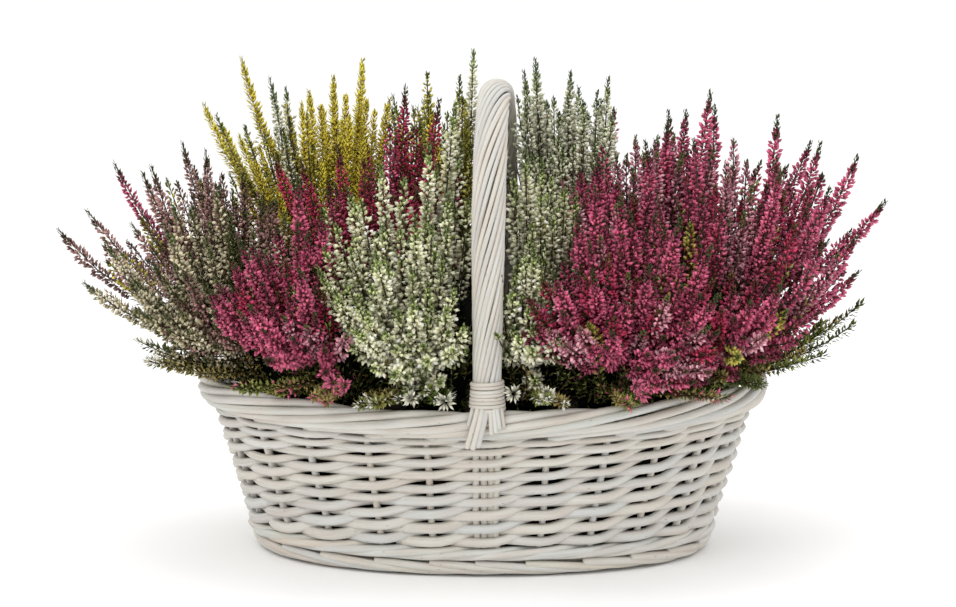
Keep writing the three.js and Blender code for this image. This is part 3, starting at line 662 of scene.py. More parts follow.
def shapeSoil(settings):
    # a crowned disc over a plain cup: z = crown - (crown - edge) * share^2 + noise in two sizes; each crumb
    # is a small uneven tetrahedron that lies on it
    share = np.linspace(0, 1, settings["rings"])[1:, None]
    angle = turn * np.arange(settings["columns"])[None] / settings["columns"]
    rim = wallPoint(angle, 95.0 + 0 * angle, settings["inset"])
    x, y = rim[..., 0] * share, rim[..., 1] * share
    z = settings["crown"] + (settings["edge"] - settings["crown"]) * share ** 2
    for size, height, seed in settings["lumps"]:
        z = z + height * noiseField(x, y, size, seed)
    z = z - settings["sink"]
    top = np.stack([x, y, z], axis=-1)[::-1]
    low = [wallPoint(angle[0], 0 * angle[0] + level, settings["inset"] - extra)
           for level, extra in ((settings["floor"] + 8, 0.3), (settings["floor"], 7.0))]
    n, rows = settings["columns"], len(top) + 2
    points = np.concatenate([np.stack([low[1], low[0]]), top]).reshape(-1, 3)
    points = np.concatenate([points, [[0, 0, settings["floor"]], [0, 0, settings["crown"]]]])
    gathered = Gathered()
    gathered.add(points, gridFaces(rows, n), poleFaces(rows, n), np.ones(3))
    count = settings["crumbs"]
    spot, way = np.sqrt(rng.random(count)) * settings["crumbReach"], rng.random(count) * turn
    place = wallPoint(way, 95.0 + 0 * way, settings["inset"]) * spot[:, None]
    place[:, 2] = settings["crown"] + (settings["edge"] - settings["crown"]) * spot ** 2
    corners = unit(np.array([[1, 1, 1], [1, -1, -1], [-1, 1, -1], [-1, -1, 1]], float))
    size = seeded(settings["crumbSize"], (count, 1, 1))
    crumb = place[:, None] + size * (corners[None] + 0.3 * rng.normal(size=(count, 4, 3)))
    faces = np.array([[0, 1, 2], [0, 3, 1], [0, 2, 3], [1, 3, 2]])
    gathered.add(crumb, noQuads, faces[None] + 4 * np.arange(count)[:, None, None], np.ones(3))
    finish = plainMaterial("pottingSoil", settings["dark"], settings["light"], 240, 0.95, 0.002)
    return gathered.piece("pottingSoil", finish, ["soil"])


shapeSoil(soilSettings)
print("liner and soil laid")

# A palette is the colour of a bud at its foot and at its end, of a young bud, and of leaves.
palettes = {
    "mauve": {"foot": "70403f", "end": "cda39b", "young": "5a3831", "leaf": "565a28", "tip": "4a5426"},
    "cream": {"foot": "8c8258", "end": "f3e7c6", "young": "565a30", "leaf": "4b5624", "tip": "5a6534"},
    "magenta": {"foot": "851039", "end": "ee7799", "young": "6a1434", "leaf": "4a4f20", "tip": "40491f"},
    "blush": {"foot": "a0526a", "end": "f3b6c0", "young": "7c3a4c", "leaf": "56602c", "tip": "5d7030"},
    "yellow": {"foot": "ab9420", "end": "f6e46a", "young": "d0b834", "leaf": "ead64c", "tip": "c6bb42"},
    "crimson": {"foot": "7e1030", "end": "d4446a", "young": "5e1424", "leaf": "5c5224", "tip": "5d4a20"},
    "white": {"foot": "c9c690", "end": "fffbe4", "young": "a2b066", "leaf": "66763c", "tip": "74854a"},
    "silver": {"foot": "c0c49c", "end": "fffbe6", "young": "929c6c", "leaf": "6c8058", "tip": "56683a"},
    "olive": {"foot": "8a862c", "end": "dccf68", "young": "7f8230", "leaf": "a3a03a", "tip": "5d6a2c"},
}

heathers = {"spike": 100.0, "lowestBase": 140.0, "upright": 0.75, "shootRoom": 0.45, "spread": 0.66,
            "rise": 0.38, "fanFrom": 100.0, "fanRate": 0.0034, "reach": 44.0, "margin": 3.2,
            "halfLength": 155.0, "halfWidth": 90.0, "soil": 98.0, "golden": 2.39996,
            "stemSide": [0.8, 0.6, 0.1]}

# Each clump: its palette, its root, how many spikes fill it and the shares of its leaders' length that
# they reach, its buds' length and width, spacing and lean, the share of leafy spikes, and the shares
# that stray to other palettes. Its leaders end at the tips, and an accent gives one of them another
# palette. Its filling spikes spread between the tips and the points under also. Sprigs are low shoots
# over the rim, with pale ends unless they are plain, and tufts are small stars of buds there.
usualClump = {"reach": (0.66, 0.95), "lean": 38, "leafy": 0.0, "strays": {}, "accents": {}, "also": [],
              "sprigs": [], "tufts": [], "plainSprigs": False}
clumps = {
    "mauve_left": {
        "palette": "mauve", "root": (-122, 26), "fill": 80, "bud": (4.6, 2.3), "spacing": 0.66, "leafy": 0.1,
        "strays": {"olive": 0.14, "cream": 0.08},
        "tips": [(-276, -40, 216), (-270, 35, 220), (-250, 30, 253), (-226, -2, 250),
                 (-205, 40, 266), (-248, 85, 205), (-205, 95, 245)],
        "also": [(-214, 104, 178), (-190, 122, 190), (-150, 60, 236), (-180, 20, 228),
                 (-160, 8, 214), (-150, -12, 190), (-172, 50, 240)],
        "sprigs": [(-246, 60, 160), (-215, 100, 150), (-252, 10, 166)], "accents": {2: "magenta"}},
    "cream_left": {
        "palette": "cream", "root": (-128, -32), "fill": 84, "bud": (4.7, 2.8), "spacing": 0.82,
        "leafy": 0.02, "strays": {"mauve": 0.2}, "accents": {2: "mauve", 3: "mauve"},
        "tips": [(-256, -62, 184), (-243, -58, 212), (-214, -40, 258), (-180, -25, 267),
                 (-222, -92, 190), (-200, -80, 225)],
        "also": [(-209, -85, 150), (-223, -80, 159), (-193, -90, 144), (-200, -98, 160),
                 (-176, -100, 176), (-132, -34, 238), (-140, -20, 246), (-233, -66, 162),
                 (-224, -72, 153), (-212, -80, 146), (-198, -86, 142), (-183, -94, 140),
                 (-242, -58, 171)],
        "sprigs": [(-220, -72, 148), (-203, -94, 138), (-216, -60, 132)]},
    "magenta_left": {
        "palette": "magenta", "root": (-84, -60), "fill": 106, "bud": (5.1, 2.7), "spacing": 0.56,
        "strays": {"blush": 0.12, "crimson": 0.14},
        "tips": [(-148, -112, 218), (-115, -78, 256), (-98, -92, 236), (-166, -120, 188),
                 (-138, -148, 182), (-108, -142, 205), (-128, -158, 150)],
        "also": [(-169, -118, 181), (-180, -108, 185), (-88, -140, 160), (-92, -128, 190),
                 (-100, -60, 225), (-158, -82, 216), (-148, -78, 220), (-133, -72, 216),
                 (-121, -74, 202), (-136, -92, 206), (-122, -102, 192), (-110, -112, 182),
                 (-185, -115, 185), (-179, -105, 195), (-172, -95, 206), (-175, -118, 173),
                 (-162, -128, 166), (-166, -88, 213)],
        "tufts": [(-87, -142, 133), (-80, -142, 131)],
        "sprigs": [(-150, -132, 128), (-100, -142, 124)]},
    "yellow_back": {
        "palette": "yellow", "root": (-80, 58), "fill": 100, "reach": (0.76, 1.0), "bud": (4.2, 2.3),
        "spacing": 0.8, "leafy": 0.8, "strays": {"olive": 0.12, "silver": 0.06},
        "tips": [(-195, 78, 290), (-167, 66, 322), (-183, 52, 284), (-152, 105, 306),
                 (-126, 120, 296), (-106, 88, 308), (-84, 66, 321), (-176, 118, 265)],
        "also": [(-130, 100, 283), (-95, 90, 291), (-74, 100, 283), (-118, 142, 196),
                 (-92, 146, 204), (-158, 124, 206), (-142, 50, 238), (-126, 36, 214),
                 (-160, 60, 252), (-150, 40, 215), (-99, 84, 293), (-93, 100, 287), (-100, 70, 284),
                 (-85, 90, 285), (-76, 80, 281), (-70, 60, 274)],
        "sprigs": [(-150, 140, 140)], "accents": {2: "olive", 3: "silver"}},
    "crimson_middle": {
        "palette": "crimson", "root": (-46, 2), "fill": 72, "bud": (4.5, 2.4), "spacing": 0.62,
        "strays": {"magenta": 0.3, "olive": 0.06},
        "tips": [(-118, -30, 262), (-96, 5, 268), (-54, 55, 304), (-74, -20, 250), (-30, 35, 296),
                 (-142, 22, 262)],
        "also": [(-98, -34, 242), (-60, 0, 236), (-30, -12, 226), (-82, 12, 232), (-40, 28, 252),
                 (-20, 4, 238)]},
    "white_left": {
        "palette": "white", "root": (-30, -62), "fill": 118, "bud": (5.3, 3.1), "lean": 48, "spacing": 0.86,
        "tips": [(-84, -62, 246), (-62, -76, 264), (-32, -66, 276), (-17, -40, 296),
                 (-88, -130, 190), (-62, -128, 214), (-38, -116, 234), (-18, -96, 246),
                 (-72, -152, 168), (-38, -148, 188), (-50, -152, 140)],
        "also": [(-101, -112, 208), (-95, -126, 187), (-88, -88, 235), (-80, -140, 156),
                 (-14, -122, 204), (-12, -130, 168), (-20, -140, 140), (-86, -142, 146),
                 (-105, -105, 205), (-104, -114, 190), (-97, -124, 173), (-9, -126, 188),
                 (-9, -132, 160), (-10, -136, 138), (-18, -138, 124), (-31, -140, 125),
                 (-46, -142, 128), (-60, -142, 134)],
        "tufts": [(-39, -141, 123), (-18, -140, 121)],
        "sprigs": [(-64, -146, 120), (-24, -140, 122)]},
    "white_right": {
        "palette": "white", "root": (30, -50), "fill": 60, "bud": (5.3, 3.1), "lean": 48, "spacing": 0.86,
        "tips": [(30, -66, 270), (36, -118, 214), (40, -36, 262)],
        "also": [(24, -118, 150), (22, -112, 181), (36, -38, 232), (50, -22, 236), (32, -10, 240),
                 (28, -120, 172), (25, -112, 205), (32, -100, 235)],
        "tufts": [(24, -138, 126), (45, -140, 126)],
        "sprigs": [(46, -146, 124)]},
    "green_back": {
        "palette": "olive", "root": (-18, 58), "fill": 74, "reach": (0.76, 1.0), "bud": (4.2, 2.3),
        "spacing": 0.8, "leafy": 0.4, "strays": {"white": 0.25, "yellow": 0.1},
        "tips": [(-41, 108, 282), (-67, 128, 292), (-18, 78, 309), (-8, 64, 327), (-34, 155, 230),
                 (-12, 112, 285)],
        "also": [(-30, 150, 176), (-54, 146, 204), (0, 142, 200), (-12, 44, 262)],
        "sprigs": [(-44, 146, 124)], "accents": {3: "white"}},
    "silver_back": {
        "palette": "silver", "root": (44, 48), "fill": 88, "reach": (0.76, 1.0), "bud": (4.8, 2.8),
        "spacing": 0.7, "strays": {"blush": 0.08},
        "tips": [(34, 64, 322), (26, 92, 312), (58, 82, 312), (42, 116, 289), (64, 108, 300),
                 (84, 82, 307), (80, 118, 290), (60, 154, 225)],
        "also": [(58, 150, 178), (30, 146, 210), (88, 132, 214), (46, 24, 254), (52, 142, 150),
                 (30, 40, 280), (60, 30, 270), (88, 50, 272)],
        "sprigs": [(48, 146, 124)]},
    "magenta_right": {
        "palette": "magenta", "root": (80, -58), "fill": 120, "bud": (5.1, 2.7), "spacing": 0.56,
        "strays": {"blush": 0.14, "crimson": 0.16, "olive": 0.02},
        "tips": [(62, -108, 234), (74, -86, 250), (90, -88, 246), (127, -108, 234), (107, -134, 206),
                 (48, -136, 202), (72, -140, 204), (150, -132, 188), (84, -154, 168),
                 (124, -156, 152), (146, -112, 215)],
        "also": [(153, -132, 128), (161, -126, 145), (139, -140, 139), (112, -62, 232),
                 (82, -58, 236), (52, -138, 160), (100, -130, 185), (160, -138, 160),
                 (30, -128, 198), (32, -132, 180), (36, -138, 160), (50, -146, 147), (77, -150, 138),
                 (145, -132, 124), (164, -120, 131), (102, -148, 128)],
        "tufts": [(102, -147, 128), (99, -148, 133)],
        "sprigs": [(96, -146, 120), (150, -128, 122)]},
    "rose_middle": {
        "palette": "magenta", "root": (84, -2), "fill": 70, "bud": (5.1, 2.7), "spacing": 0.6,
        "strays": {"blush": 0.4, "crimson": 0.1},
        "tips": [(151, 16, 303), (136, 38, 289), (110, -30, 268), (76, -14, 262), (122, 8, 282)],
        "also": [(68, -22, 236), (104, 2, 256), (70, 20, 250), (52, 0, 238), (90, 24, 262)]},
    "rose_right": {
        "palette": "magenta", "root": (130, -20), "fill": 100, "bud": (5.1, 2.7), "spacing": 0.58,
        "strays": {"blush": 0.26, "crimson": 0.1, "olive": 0.03},
        "plainSprigs": True,
        "tips": [(195, 8, 288), (222, -12, 272), (224, -62, 247), (192, -60, 257), (241, -64, 216),
                 (249, 14, 260), (247, -30, 190), (190, -104, 190)],
        "also": [(172, -118, 160), (165, -112, 181), (199, -70, 146), (216, -60, 151),
                 (150, -20, 252), (130, -50, 236), (160, 10, 258)],
        "sprigs": [(240, -60, 158), (206, -92, 140), (250, -12, 165), (180, -112, 128)]},
    "rose_back": {
        "palette": "magenta", "root": (108, 50), "fill": 84, "bud": (5.0, 2.6), "spacing": 0.62,
        "strays": {"blush": 0.16, "crimson": 0.1},
        "tips": [(125, 62, 287), (156, 52, 291), (110, 90, 264), (172, 62, 256), (220, 36, 268),
                 (274, 64, 225), (240, 92, 205), (190, 118, 215), (140, 132, 235)],
        "also": [(110, 146, 178), (152, 134, 178), (192, 122, 172), (130, 150, 204), (150, 60, 255),
                 (226, 84, 172)],
        "sprigs": [(230, 88, 150), (150, 138, 128)]},
}
clumps = {name: {**usualClump, **clump} for name, clump in clumps.items()}
roots = {name: np.array(clump["root"], float) for name, clump in clumps.items()}


def clumpReach(name, angle):
    # the nearest of: the reach, the half way line to each neighbour, and the planting oval, less a margin
    dx, dy = np.cos(angle), np.sin(angle)
    x, y = roots[name]
    reach = np.full_like(angle, heathers["reach"])
    for other, (ox, oy) in roots.items():
        if other == name:
            continue
        along = dx * (ox - x) + dy * (oy - y)
        half = ((ox - x) ** 2 + (oy - y) ** 2) / np.where(along > 1e-6, 2 * along, 1e-6)
        reach = np.where(along > 1e-6, np.minimum(reach, half), reach)
    a = (dx / heathers["halfLength"]) ** 2 + (dy / heathers["halfWidth"]) ** 2
    b = x * dx / heathers["halfLength"] ** 2 + y * dy / heathers["halfWidth"] ** 2
    c = (x / heathers["halfLength"]) ** 2 + (y / heathers["halfWidth"]) ** 2 - 1
    return np.minimum(reach, (-b + np.sqrt(b * b - a * c)) / a) - heathers["margin"]


def fanOut(z):
    # clumps spread as they rise: 1 + fanRate * the height over fanFrom
    return 1 + heathers["fanRate"] * (z - heathers["fanFrom"])


def shootBases(name, tips, height):
    # base = fanned root + min(upright * away, shootRoom * fanned reach) towards the tip
    root = roots[name][None] * fanOut(height)[:, None]
    away = tips[:, :2] - root
    angle = np.arctan2(away[:, 1], away[:, 0])
    out = np.minimum(heathers["upright"] * np.linalg.norm(away, axis=1),
                     heathers["shootRoom"] * fanOut(height) * clumpReach(name, angle))
    return np.stack([root[:, 0] + out * np.cos(angle), root[:, 1] + out * np.sin(angle), height], axis=-1)


def bend(bases, tips):
    # the middle handle of a curve that leans out first and turns up to its tip, more so when it goes far out
    reach = tips - bases
    outward = np.linalg.norm(reach[:, :2], axis=1) / np.linalg.norm(reach, axis=1)
    rise = heathers["rise"] * (1 - 0.75 * outward ** 2)
    spread = heathers["spread"] + 0 * rise
    return bases + reach * np.stack([spread, spread, rise], axis=-1)


def onCurve(bases, controls, tips, t):
    # quadratic curve and its direction at the shares t
    t = t[..., None]
    place = (1 - t) ** 2 * bases + 2 * t * (1 - t) * controls + t * t * tips
    ahead = unit(2 * (1 - t) * (controls - bases) + 2 * t * (tips - controls))
    return place, ahead


# Filling spikes: how much each kind of point draws them, how near a leader has to be to count, and how
# much a neighbour's counts.
filling = {"weights": {"tips": 1.0, "also": 0.9, "sprigs": 0.35}, "near": 62.0, "neighbour": 0.45,
           "waver": 0.06, "lowest": 122.0, "choices": 3, "mixPower": 1.2, "reachPower": 0.8}
anchors = [(place, number, share) for number, clump in enumerate(clumps.values())
           for key, share in filling["weights"].items() for place in clump[key]]
leaderTips, leaderClumps, leaderShares = (np.array(part, float) for part in zip(*anchors))


def fillTips(name, clump, count, shortest, longest):
    # a filling tip lies between one of the clump's leaders and leaders near it, its neighbours' among
    # them, in direction and in length as seen from the clump's foot; of more random ones
    # than are needed, those that lie farthest from each other are kept
    foot = np.array([*clump["root"], heathers["soil"]], float)
    reach = leaderTips - foot
    length = np.linalg.norm(reach, axis=1)
    heading = reach / length[:, None]
    own = leaderClumps == list(clumps).index(name)
    first = rng.choice(len(own), filling["choices"] * count,
                       p=own * leaderShares / np.sum(own * leaderShares))
    apart = np.linalg.norm(leaderTips[first][:, None] - leaderTips[None], axis=-1)
    near = np.exp(-(apart / filling["near"]) ** 2) \
        * (np.where(own, 1.0, filling["neighbour"]) * leaderShares)[None]
    weight = rng.exponential(size=near.shape) ** filling["mixPower"] * near
    weight = weight / weight.sum(axis=1, keepdims=True)
    middle = weight @ heading
    way = middle + filling["waver"] * rng.normal(size=middle.shape)
    way[:, 2] = np.maximum(way[:, 2], middle[:, 2] - 0.01)
    share = shortest + (longest - shortest) * rng.random(len(way)) ** filling["reachPower"]
    tips = foot + unit(way) * ((weight @ length) * share)[:, None]
    tips[:, 2] = np.maximum(tips[:, 2], filling["lowest"])
    chosen = [0]
    room = np.linalg.norm(tips - tips[0], axis=1)
    while len(chosen) < count:
        chosen.append(int(np.argmax(room)))
        room = np.minimum(room, np.linalg.norm(tips - tips[chosen[-1]], axis=1))
    return tips[chosen]


# What the plants keep clear of: the bow, and the rim border, which they stay inside of or above.
bow = evenBow(140)
border = {"halfLength": 176.0, "halfWidth": 116.0, "power": 2.1, "top": 116.5, "endTop": 7.0,
          "endFrom": 130.0, "endOver": 60.0, "bowRoom": 12.6}


def insideBorder(x, y):
    # under 1 inside the rim border: |x / halfLength| ^ power + |y / halfWidth| ^ power
    power = border["power"]
    return (np.abs(x) / border["halfLength"]) ** power + (np.abs(y) / border["halfWidth"]) ** power


def borderTop(x):
    # the height above which shoots pass over the border, which rises with the square towards its ends
    share = np.clip((np.abs(x) - border["endFrom"]) / border["endOver"], 0, 1)
    return border["top"] + border["endTop"] * share ** 2


def clearOfWillow(points, room=border["bowRoom"]):
    # true where a point is away from the bow, and inside the rim border or above it, whose ends stay bare
    near = np.min(np.linalg.norm(points[:, None, :] - bow[None], axis=-1), axis=1) > room
    x, y, z = points.T
    return near & ((insideBorder(x, y) < 1) | (z > borderTop(x)))


# A bud is a spindle of six triangles, widest above its middle; a leaf is a keeled sliver of four.
budForm = np.array([[0, 0, 0], [1, 0, 0.5], [-0.5, 0.87, 0.6], [-0.5, -0.87, 0.6], [0, 0, 1.0]])
budTris = np.array([[0, 1 + (j + 1) % 3, 1 + j] for j in range(3)]
                   + [[4, 1 + j, 1 + (j + 1) % 3] for j in range(3)])
budShades = np.array([0.0, 0.62, 0.7, 0.54, 1.0])
leafForm = np.array([[0, 0, 0], [1, 0.45, 0.45], [-1, 0.45, 0.45], [0, 0, 1.0]])
leafTris = np.array([[0, 1, 3], [0, 3, 2], [0, 2, 1], [3, 1, 2]])
leafShades = np.array([0.0, 0.5, 0.5, 1.0])


def addForms(gathered, form, tris, place, ahead, length, width, tints):
    # each copy: place + length * z * ahead + width / 2 * (x * side + y * front)
    side = unit(np.cross(ahead, np.array([0.31, 0.17, 0.93])))
    front = np.cross(ahead, side)
    points = place[:, None] + (length[:, None] * form[None, :, 2])[..., None] * ahead[:, None] \
        + (width[:, None] / 2 * form[None, :, 0])[..., None] * side[:, None] \
        + (width[:, None] / 2 * form[None, :, 1])[..., None] * front[:, None]
    step = len(form) * np.arange(len(place))[:, None, None]
    gathered.add(points, noQuads, tris[None] + step, tints)


def addLeaves(gathered, place, ahead, length, broad, colour):
    # leaves that are darker at the foot: tint = colour * (0.7 + 0.5 * the point's share of the length)
    tints = np.clip(colour[:, None] * (0.7 + 0.5 * leafShades[None, :, None]), 0, 1)
    addForms(gathered, leafForm, leafTris, place, ahead, length, broad * length, tints)


def alongShoots(shoots, first, last, spacing):
    # items stand below each shoot's tip at first, first + spacing, ... down to last, each let down by up
    # to half a spacing, at the share 1 - below / length of the shoot's curve
    bases, controls, tips, lengths = shoots
    last, spacing = np.minimum(last, lengths * 0.97), spacing + 0 * lengths
    counts = np.maximum(((last - first) / spacing).astype(int), 0)
    shoot = np.repeat(np.arange(len(lengths)), counts)
    number = np.arange(counts.sum()) - np.repeat(np.cumsum(counts) - counts, counts)
    below = first[shoot] + spacing[shoot] * (number + 0.5 * rng.random(len(number)))
    place, ahead = onCurve(bases[shoot], controls[shoot], tips[shoot], 1 - below / lengths[shoot])
    return shoot, number, below, place, ahead


def stemPaths(shoots, end):
    # five points on each shoot's curve, from its base to the share at its end
    bases, controls, tips, lengths = shoots
    t = np.linspace(0, end, 5)[None] * np.ones((len(lengths), 1))
    return onCurve(bases[:, None], controls[:, None], tips[:, None], t)[0]


def around(ahead, angle, lean):
    # a direction at an angle round a shoot that leans away from it
    side = unit(np.cross(ahead, np.array([0.12, 0.05, 0.99])))
    front = np.cross(ahead, side)
    radial = np.cos(angle)[:, None] * side + np.sin(angle)[:, None] * front
    return np.cos(lean)[:, None] * ahead + np.sin(lean)[:, None] * radial, radial


def colourOf(names, key):
    # one colour of each named palette
    return np.array([linear(palettes[name][key]) for name in names])


# Spikes: pairs are a lowest value and how much a random share adds. A leaf's values are its spacing,
# length, breadth, lean at first and at last in degrees, and the length over which the lean changes.
spikes = {"accentShare": 0.55, "tip": (3, 6.5), "leaderTip": (8.5, 5.5), "flowers": (40, 22),
          "leaderFlowers": 72.0, "light": (0.8, 0.36), "girth": (0.85, 0.35), "stem": "3f3823",
          "stemRadii": [1.0, 0.85, 0.75, 0.65, 0.55, 0.4], "stemFoot": 0.3, "leaderSpacing": 0.62,
          "tipShare": 0.7, "ripening": 14, "budLean": 24, "budWaver": 12, "budSize": (0.86, 0.3),
          "lowestBud": 112, "innerFrom": 16, "innerLoss": 0.75, "shadeFrom": 18, "shadeOver": 42,
          "ripe": (0.7, 0.6), "shine": (0.6, 0.85), "lowestLeaf": 108, "leafRoom": 12.0,
          "cone": (0.55, 4.2, 0.5, 14, 42, 12), "sparse": (7.0, 3.9, 0.4, 45, 65, 26),
          "dense": (0.34, 5.8, 0.42, 20, 60, 26), "tuftBuds": 17, "tuftLean": (38, 48),
          "tuftShine": (0.45, 0.5), "tuftLength": (4.0, 3.0), "tuftWidth": 1.9}


def spikePalettes(clump, tips, leaders, settings):
    # a leader has its accent or the clump's palette; a share of the filling spikes take their nearest
    # leader's, and a share of the plain ones among them stray to each other palette
    count = len(tips)
    fills = np.arange(count) >= len(leaders)
    names = np.array([clump["accents"].get(k, clump["palette"]) for k in range(count)])
    nearest = np.argmin(np.linalg.norm(tips[:, None] - leaders[None], axis=-1), axis=1)
    names = np.where(fills & (rng.random(count) < settings["accentShare"]), names[nearest], names)
    chance = rng.random(count)
    for stray, share in clump["strays"].items():
        strays = (chance < share) & (chance >= 0) & fills & (names == clump["palette"])
        names = np.where(strays, stray, names)
        chance = np.where(chance < share, -1.0, chance - share)
    return names


def addTufts(gathered, clump, settings):
    # stars of buds that face outwards, each bud leaning away from the middle of its star
    tufts = np.repeat(np.array(clump["tufts"], float).reshape(-1, 3), settings["tuftBuds"], axis=0)
    count = len(tufts)
    facing = unit(tufts - np.array([0.0, 0.0, 96.0]))
    heading, radial = around(facing, heathers["golden"] * np.arange(count),
                             np.radians(seeded(settings["tuftLean"], count)))
    shine = seeded(settings["tuftShine"], count)[:, None, None]
    ends = np.array(linear(palettes[clump["palette"]]["end"])) * (0.5 + 0.5 * budShades[None, :, None])
    addForms(gathered, budForm, budTris, tufts + radial, heading, seeded(settings["tuftLength"], count),
             0 * tufts[:, 0] + settings["tuftWidth"], np.clip(ends * shine, 0, 1))


def growSpikes(name, clump, settings):
    # the clump's own spikes and the filling ones, each with a stem, a green tip, buds and small leaves;
    # item k stands at the golden angle * k round its spike
    gathered = Gathered()
    leaders = np.array(clump["tips"], float)
    tips = np.concatenate([leaders, fillTips(name, clump, clump["fill"], *clump["reach"])])
    count = len(tips)
    leads = np.arange(count) < len(leaders)
    names = spikePalettes(clump, tips, leaders, settings)
    heights = np.maximum(heathers["lowestBase"], tips[:, 2] - heathers["spike"])
    bases = shootBases(name, tips, np.minimum(heights, tips[:, 2] - 4))
    controls = bend(bases, tips)
    lengths = 0.5 * (np.linalg.norm(controls - bases, axis=1) + np.linalg.norm(tips - controls, axis=1)
                     + np.linalg.norm(tips - bases, axis=1))
    shoots = bases, controls, tips, lengths
    isLeafy = (rng.random(count) < clump["leafy"]) & (names == clump["palette"])
    isLeafy &= ~leads | (clump["leafy"] > 0.5)
    tipLength = np.where(leads, seeded(settings["leaderTip"], count), seeded(settings["tip"], count, 2))
    flowered = np.where(leads, settings["leaderFlowers"], seeded(settings["flowers"], count))
    light = seeded(settings["light"], count)
    girth = seeded(settings["girth"], count)
    # stems: from the soil up to the base, then along the curve
    foot = np.c_[roots[name][None] + settings["stemFoot"] * (bases[:, :2] - roots[name]),
                 np.full(count, heathers["soil"])]
    paths = np.concatenate([foot[:, None], stemPaths(shoots, 0.99)], axis=1)
    tints = np.where(isLeafy[:, None], 0.5 * colourOf(names, "leaf"), linear(settings["stem"]))
    addRods(gathered, paths, np.array(settings["stemRadii"])[None], np.array(heathers["stemSide"]), 3, tints)
    # buds: each leans out from its spike, further when it is older, and points up along it
    budsFrom = tipLength * settings["tipShare"]
    shoot, number, below, place, ahead = alongShoots(
        shoots, budsFrom, np.where(isLeafy, 0, flowered),
        clump["spacing"] * np.where(leads, settings["leaderSpacing"], 1.0))
    age = np.clip((below - budsFrom[shoot]) / settings["ripening"], 0, 1)
    lean = np.radians(settings["budLean"] + clump["lean"] * age
                      + settings["budWaver"] * rng.normal(size=len(shoot)))
    angle = heathers["golden"] * number + 5.1 * shoot + 0.35 * rng.normal(size=len(shoot))
    heading, radial = around(ahead, angle, lean)
    size = (0.66 + 0.34 * age) * seeded(settings["budSize"], len(shoot))
    out = girth[shoot] * (0.3 + age * (0.2 + np.where(leads, 1.0, 2.2)[shoot] * rng.random(len(shoot))))
    start = place + out[:, None] * radial
    keep = clearOfWillow(start + 2 * heading) & (start[:, 2] > settings["lowestBud"])
    inward = np.einsum("ij,ij->i", radial, unit(start - np.array([0.0, 0.0, 120.0]))) < -0.4
    keep &= ~(inward & ~leads[shoot] & (below > settings["innerFrom"])
              & (rng.random(len(shoot)) < settings["innerLoss"]))
    # buds further below the tip are painted darker, to about half at shadeFrom + shadeOver: painted shade
    # inside the clump
    deep = 1.03 - 0.5 * np.clip((below - settings["shadeFrom"]) / settings["shadeOver"], 0, 1)
    start, heading, size = start[keep], heading[keep], size[keep]
    shoot, age, deep = shoot[keep], age[keep], deep[keep]
    length, width = clump["bud"]
    footColour, endColour, young = (colourOf(names[shoot], key) for key in ("foot", "end", "young"))
    ripe = (age * seeded(settings["ripe"], len(shoot)))[:, None].clip(0, 1)
    shine = (light[shoot] * deep * seeded(settings["shine"], len(shoot)))[:, None]
    low = (young * (1 - ripe) + footColour * ripe) * shine
    high = (young * (1 - ripe) + endColour * ripe) * shine
    tints = np.clip(low[:, None] + (high - low)[:, None] * budShades[None, :, None], 0, 1)
    addForms(gathered, budForm, budTris, start, heading, length * size, width * size, tints)
    if clump["tufts"]:
        addTufts(gathered, clump, settings)
    # leaves: a scaly cone at each tip, sparse ones between the buds, dense ones on a leafy spike
    for kind, first, last in (("cone", np.zeros(count), tipLength + 1),
                              ("sparse", tipLength, np.where(isLeafy, 0, flowered + 8)),
                              ("dense", tipLength * 0.5, np.where(isLeafy, flowered, 0))):
        spacing, size, broad, leanFrom, leanTo, over = settings[kind]
        shoot, number, below, place, ahead = alongShoots(shoots, first, last, spacing)
        if not len(shoot):
            continue
        age = np.clip((below - first[shoot]) / over, 0, 1)
        lean = np.radians(leanFrom + (leanTo - leanFrom) * age + 7 * rng.normal(size=len(shoot)))
        heading, radial = around(ahead, heathers["golden"] * number + 2.3 * shoot, lean)
        start = place + 0.5 * radial - 1.2 * ahead * (kind == "cone")
        keep = clearOfWillow(start + heading, settings["leafRoom"]) & (start[:, 2] > settings["lowestLeaf"])
        start, heading, shoot, age = start[keep], heading[keep], shoot[keep], age[keep]
        leafLength = size * seeded((0.75, 0.5), len(shoot)) * (0.7 + 0.3 * age)
        shine = (light[shoot] * seeded((0.6, 0.65), len(shoot)))[:, None]
        colour = colourOf(names[shoot], "tip" if kind == "cone" else "leaf") * shine
        addLeaves(gathered, start, heading, leafLength, broad, colour)
    return gathered.piece(f"flowers_{name}", petals[clump["palette"]], [f"heather_{name}"])


# Greens: inner shoots, low ones round the rim, and copies of each sprig over it.
foliage = {"inner": 17, "innerReach": (0.5, 0.82), "low": 26, "lowHeight": (112, 36),
           "lowReach": (0.5, 0.65), "sprigCopies": 4, "sprigSpread": 8.0, "sprigCurve": [0.72, 0.72, 0.2],
           "leaf": 5.0, "spacing": 1.6, "dark": "5a662f", "mid": "8c934c", "warm": "a4935a",
           "stem": "3a3420", "stemRadii": [0.8, 0.7, 0.6, 0.5, 0.4], "leafRoom": 12.0, "base": 112.0,
           "lowBase": 108.0, "sprigBase": 124.0, "lowOver": 7, "sprigOver": 4, "sprigSpacing": 0.48,
           "paleEnds": {"white": 0.75, "cream": 0.75, "silver": 0.75}, "otherEnds": 0.3,
           "paleElsewhere": 0.06, "endLength": 7}
# Shade core: a near-black body of rings inside the clump, painted shade that stands in for the deep shade
# among the stems, with bristles.
shadeCore = {"levels": 8, "columns": 24, "bottom": 99.5, "places": [0, 0.15, 0.5, 0.8, 1],
           "shares": [0.6, 0.66, 0.62, 0.48, 0.2], "rough": 0.16, "colour": "040402", "bowRoom": 14,
           "bristles": 420, "bristle": (5, 4)}


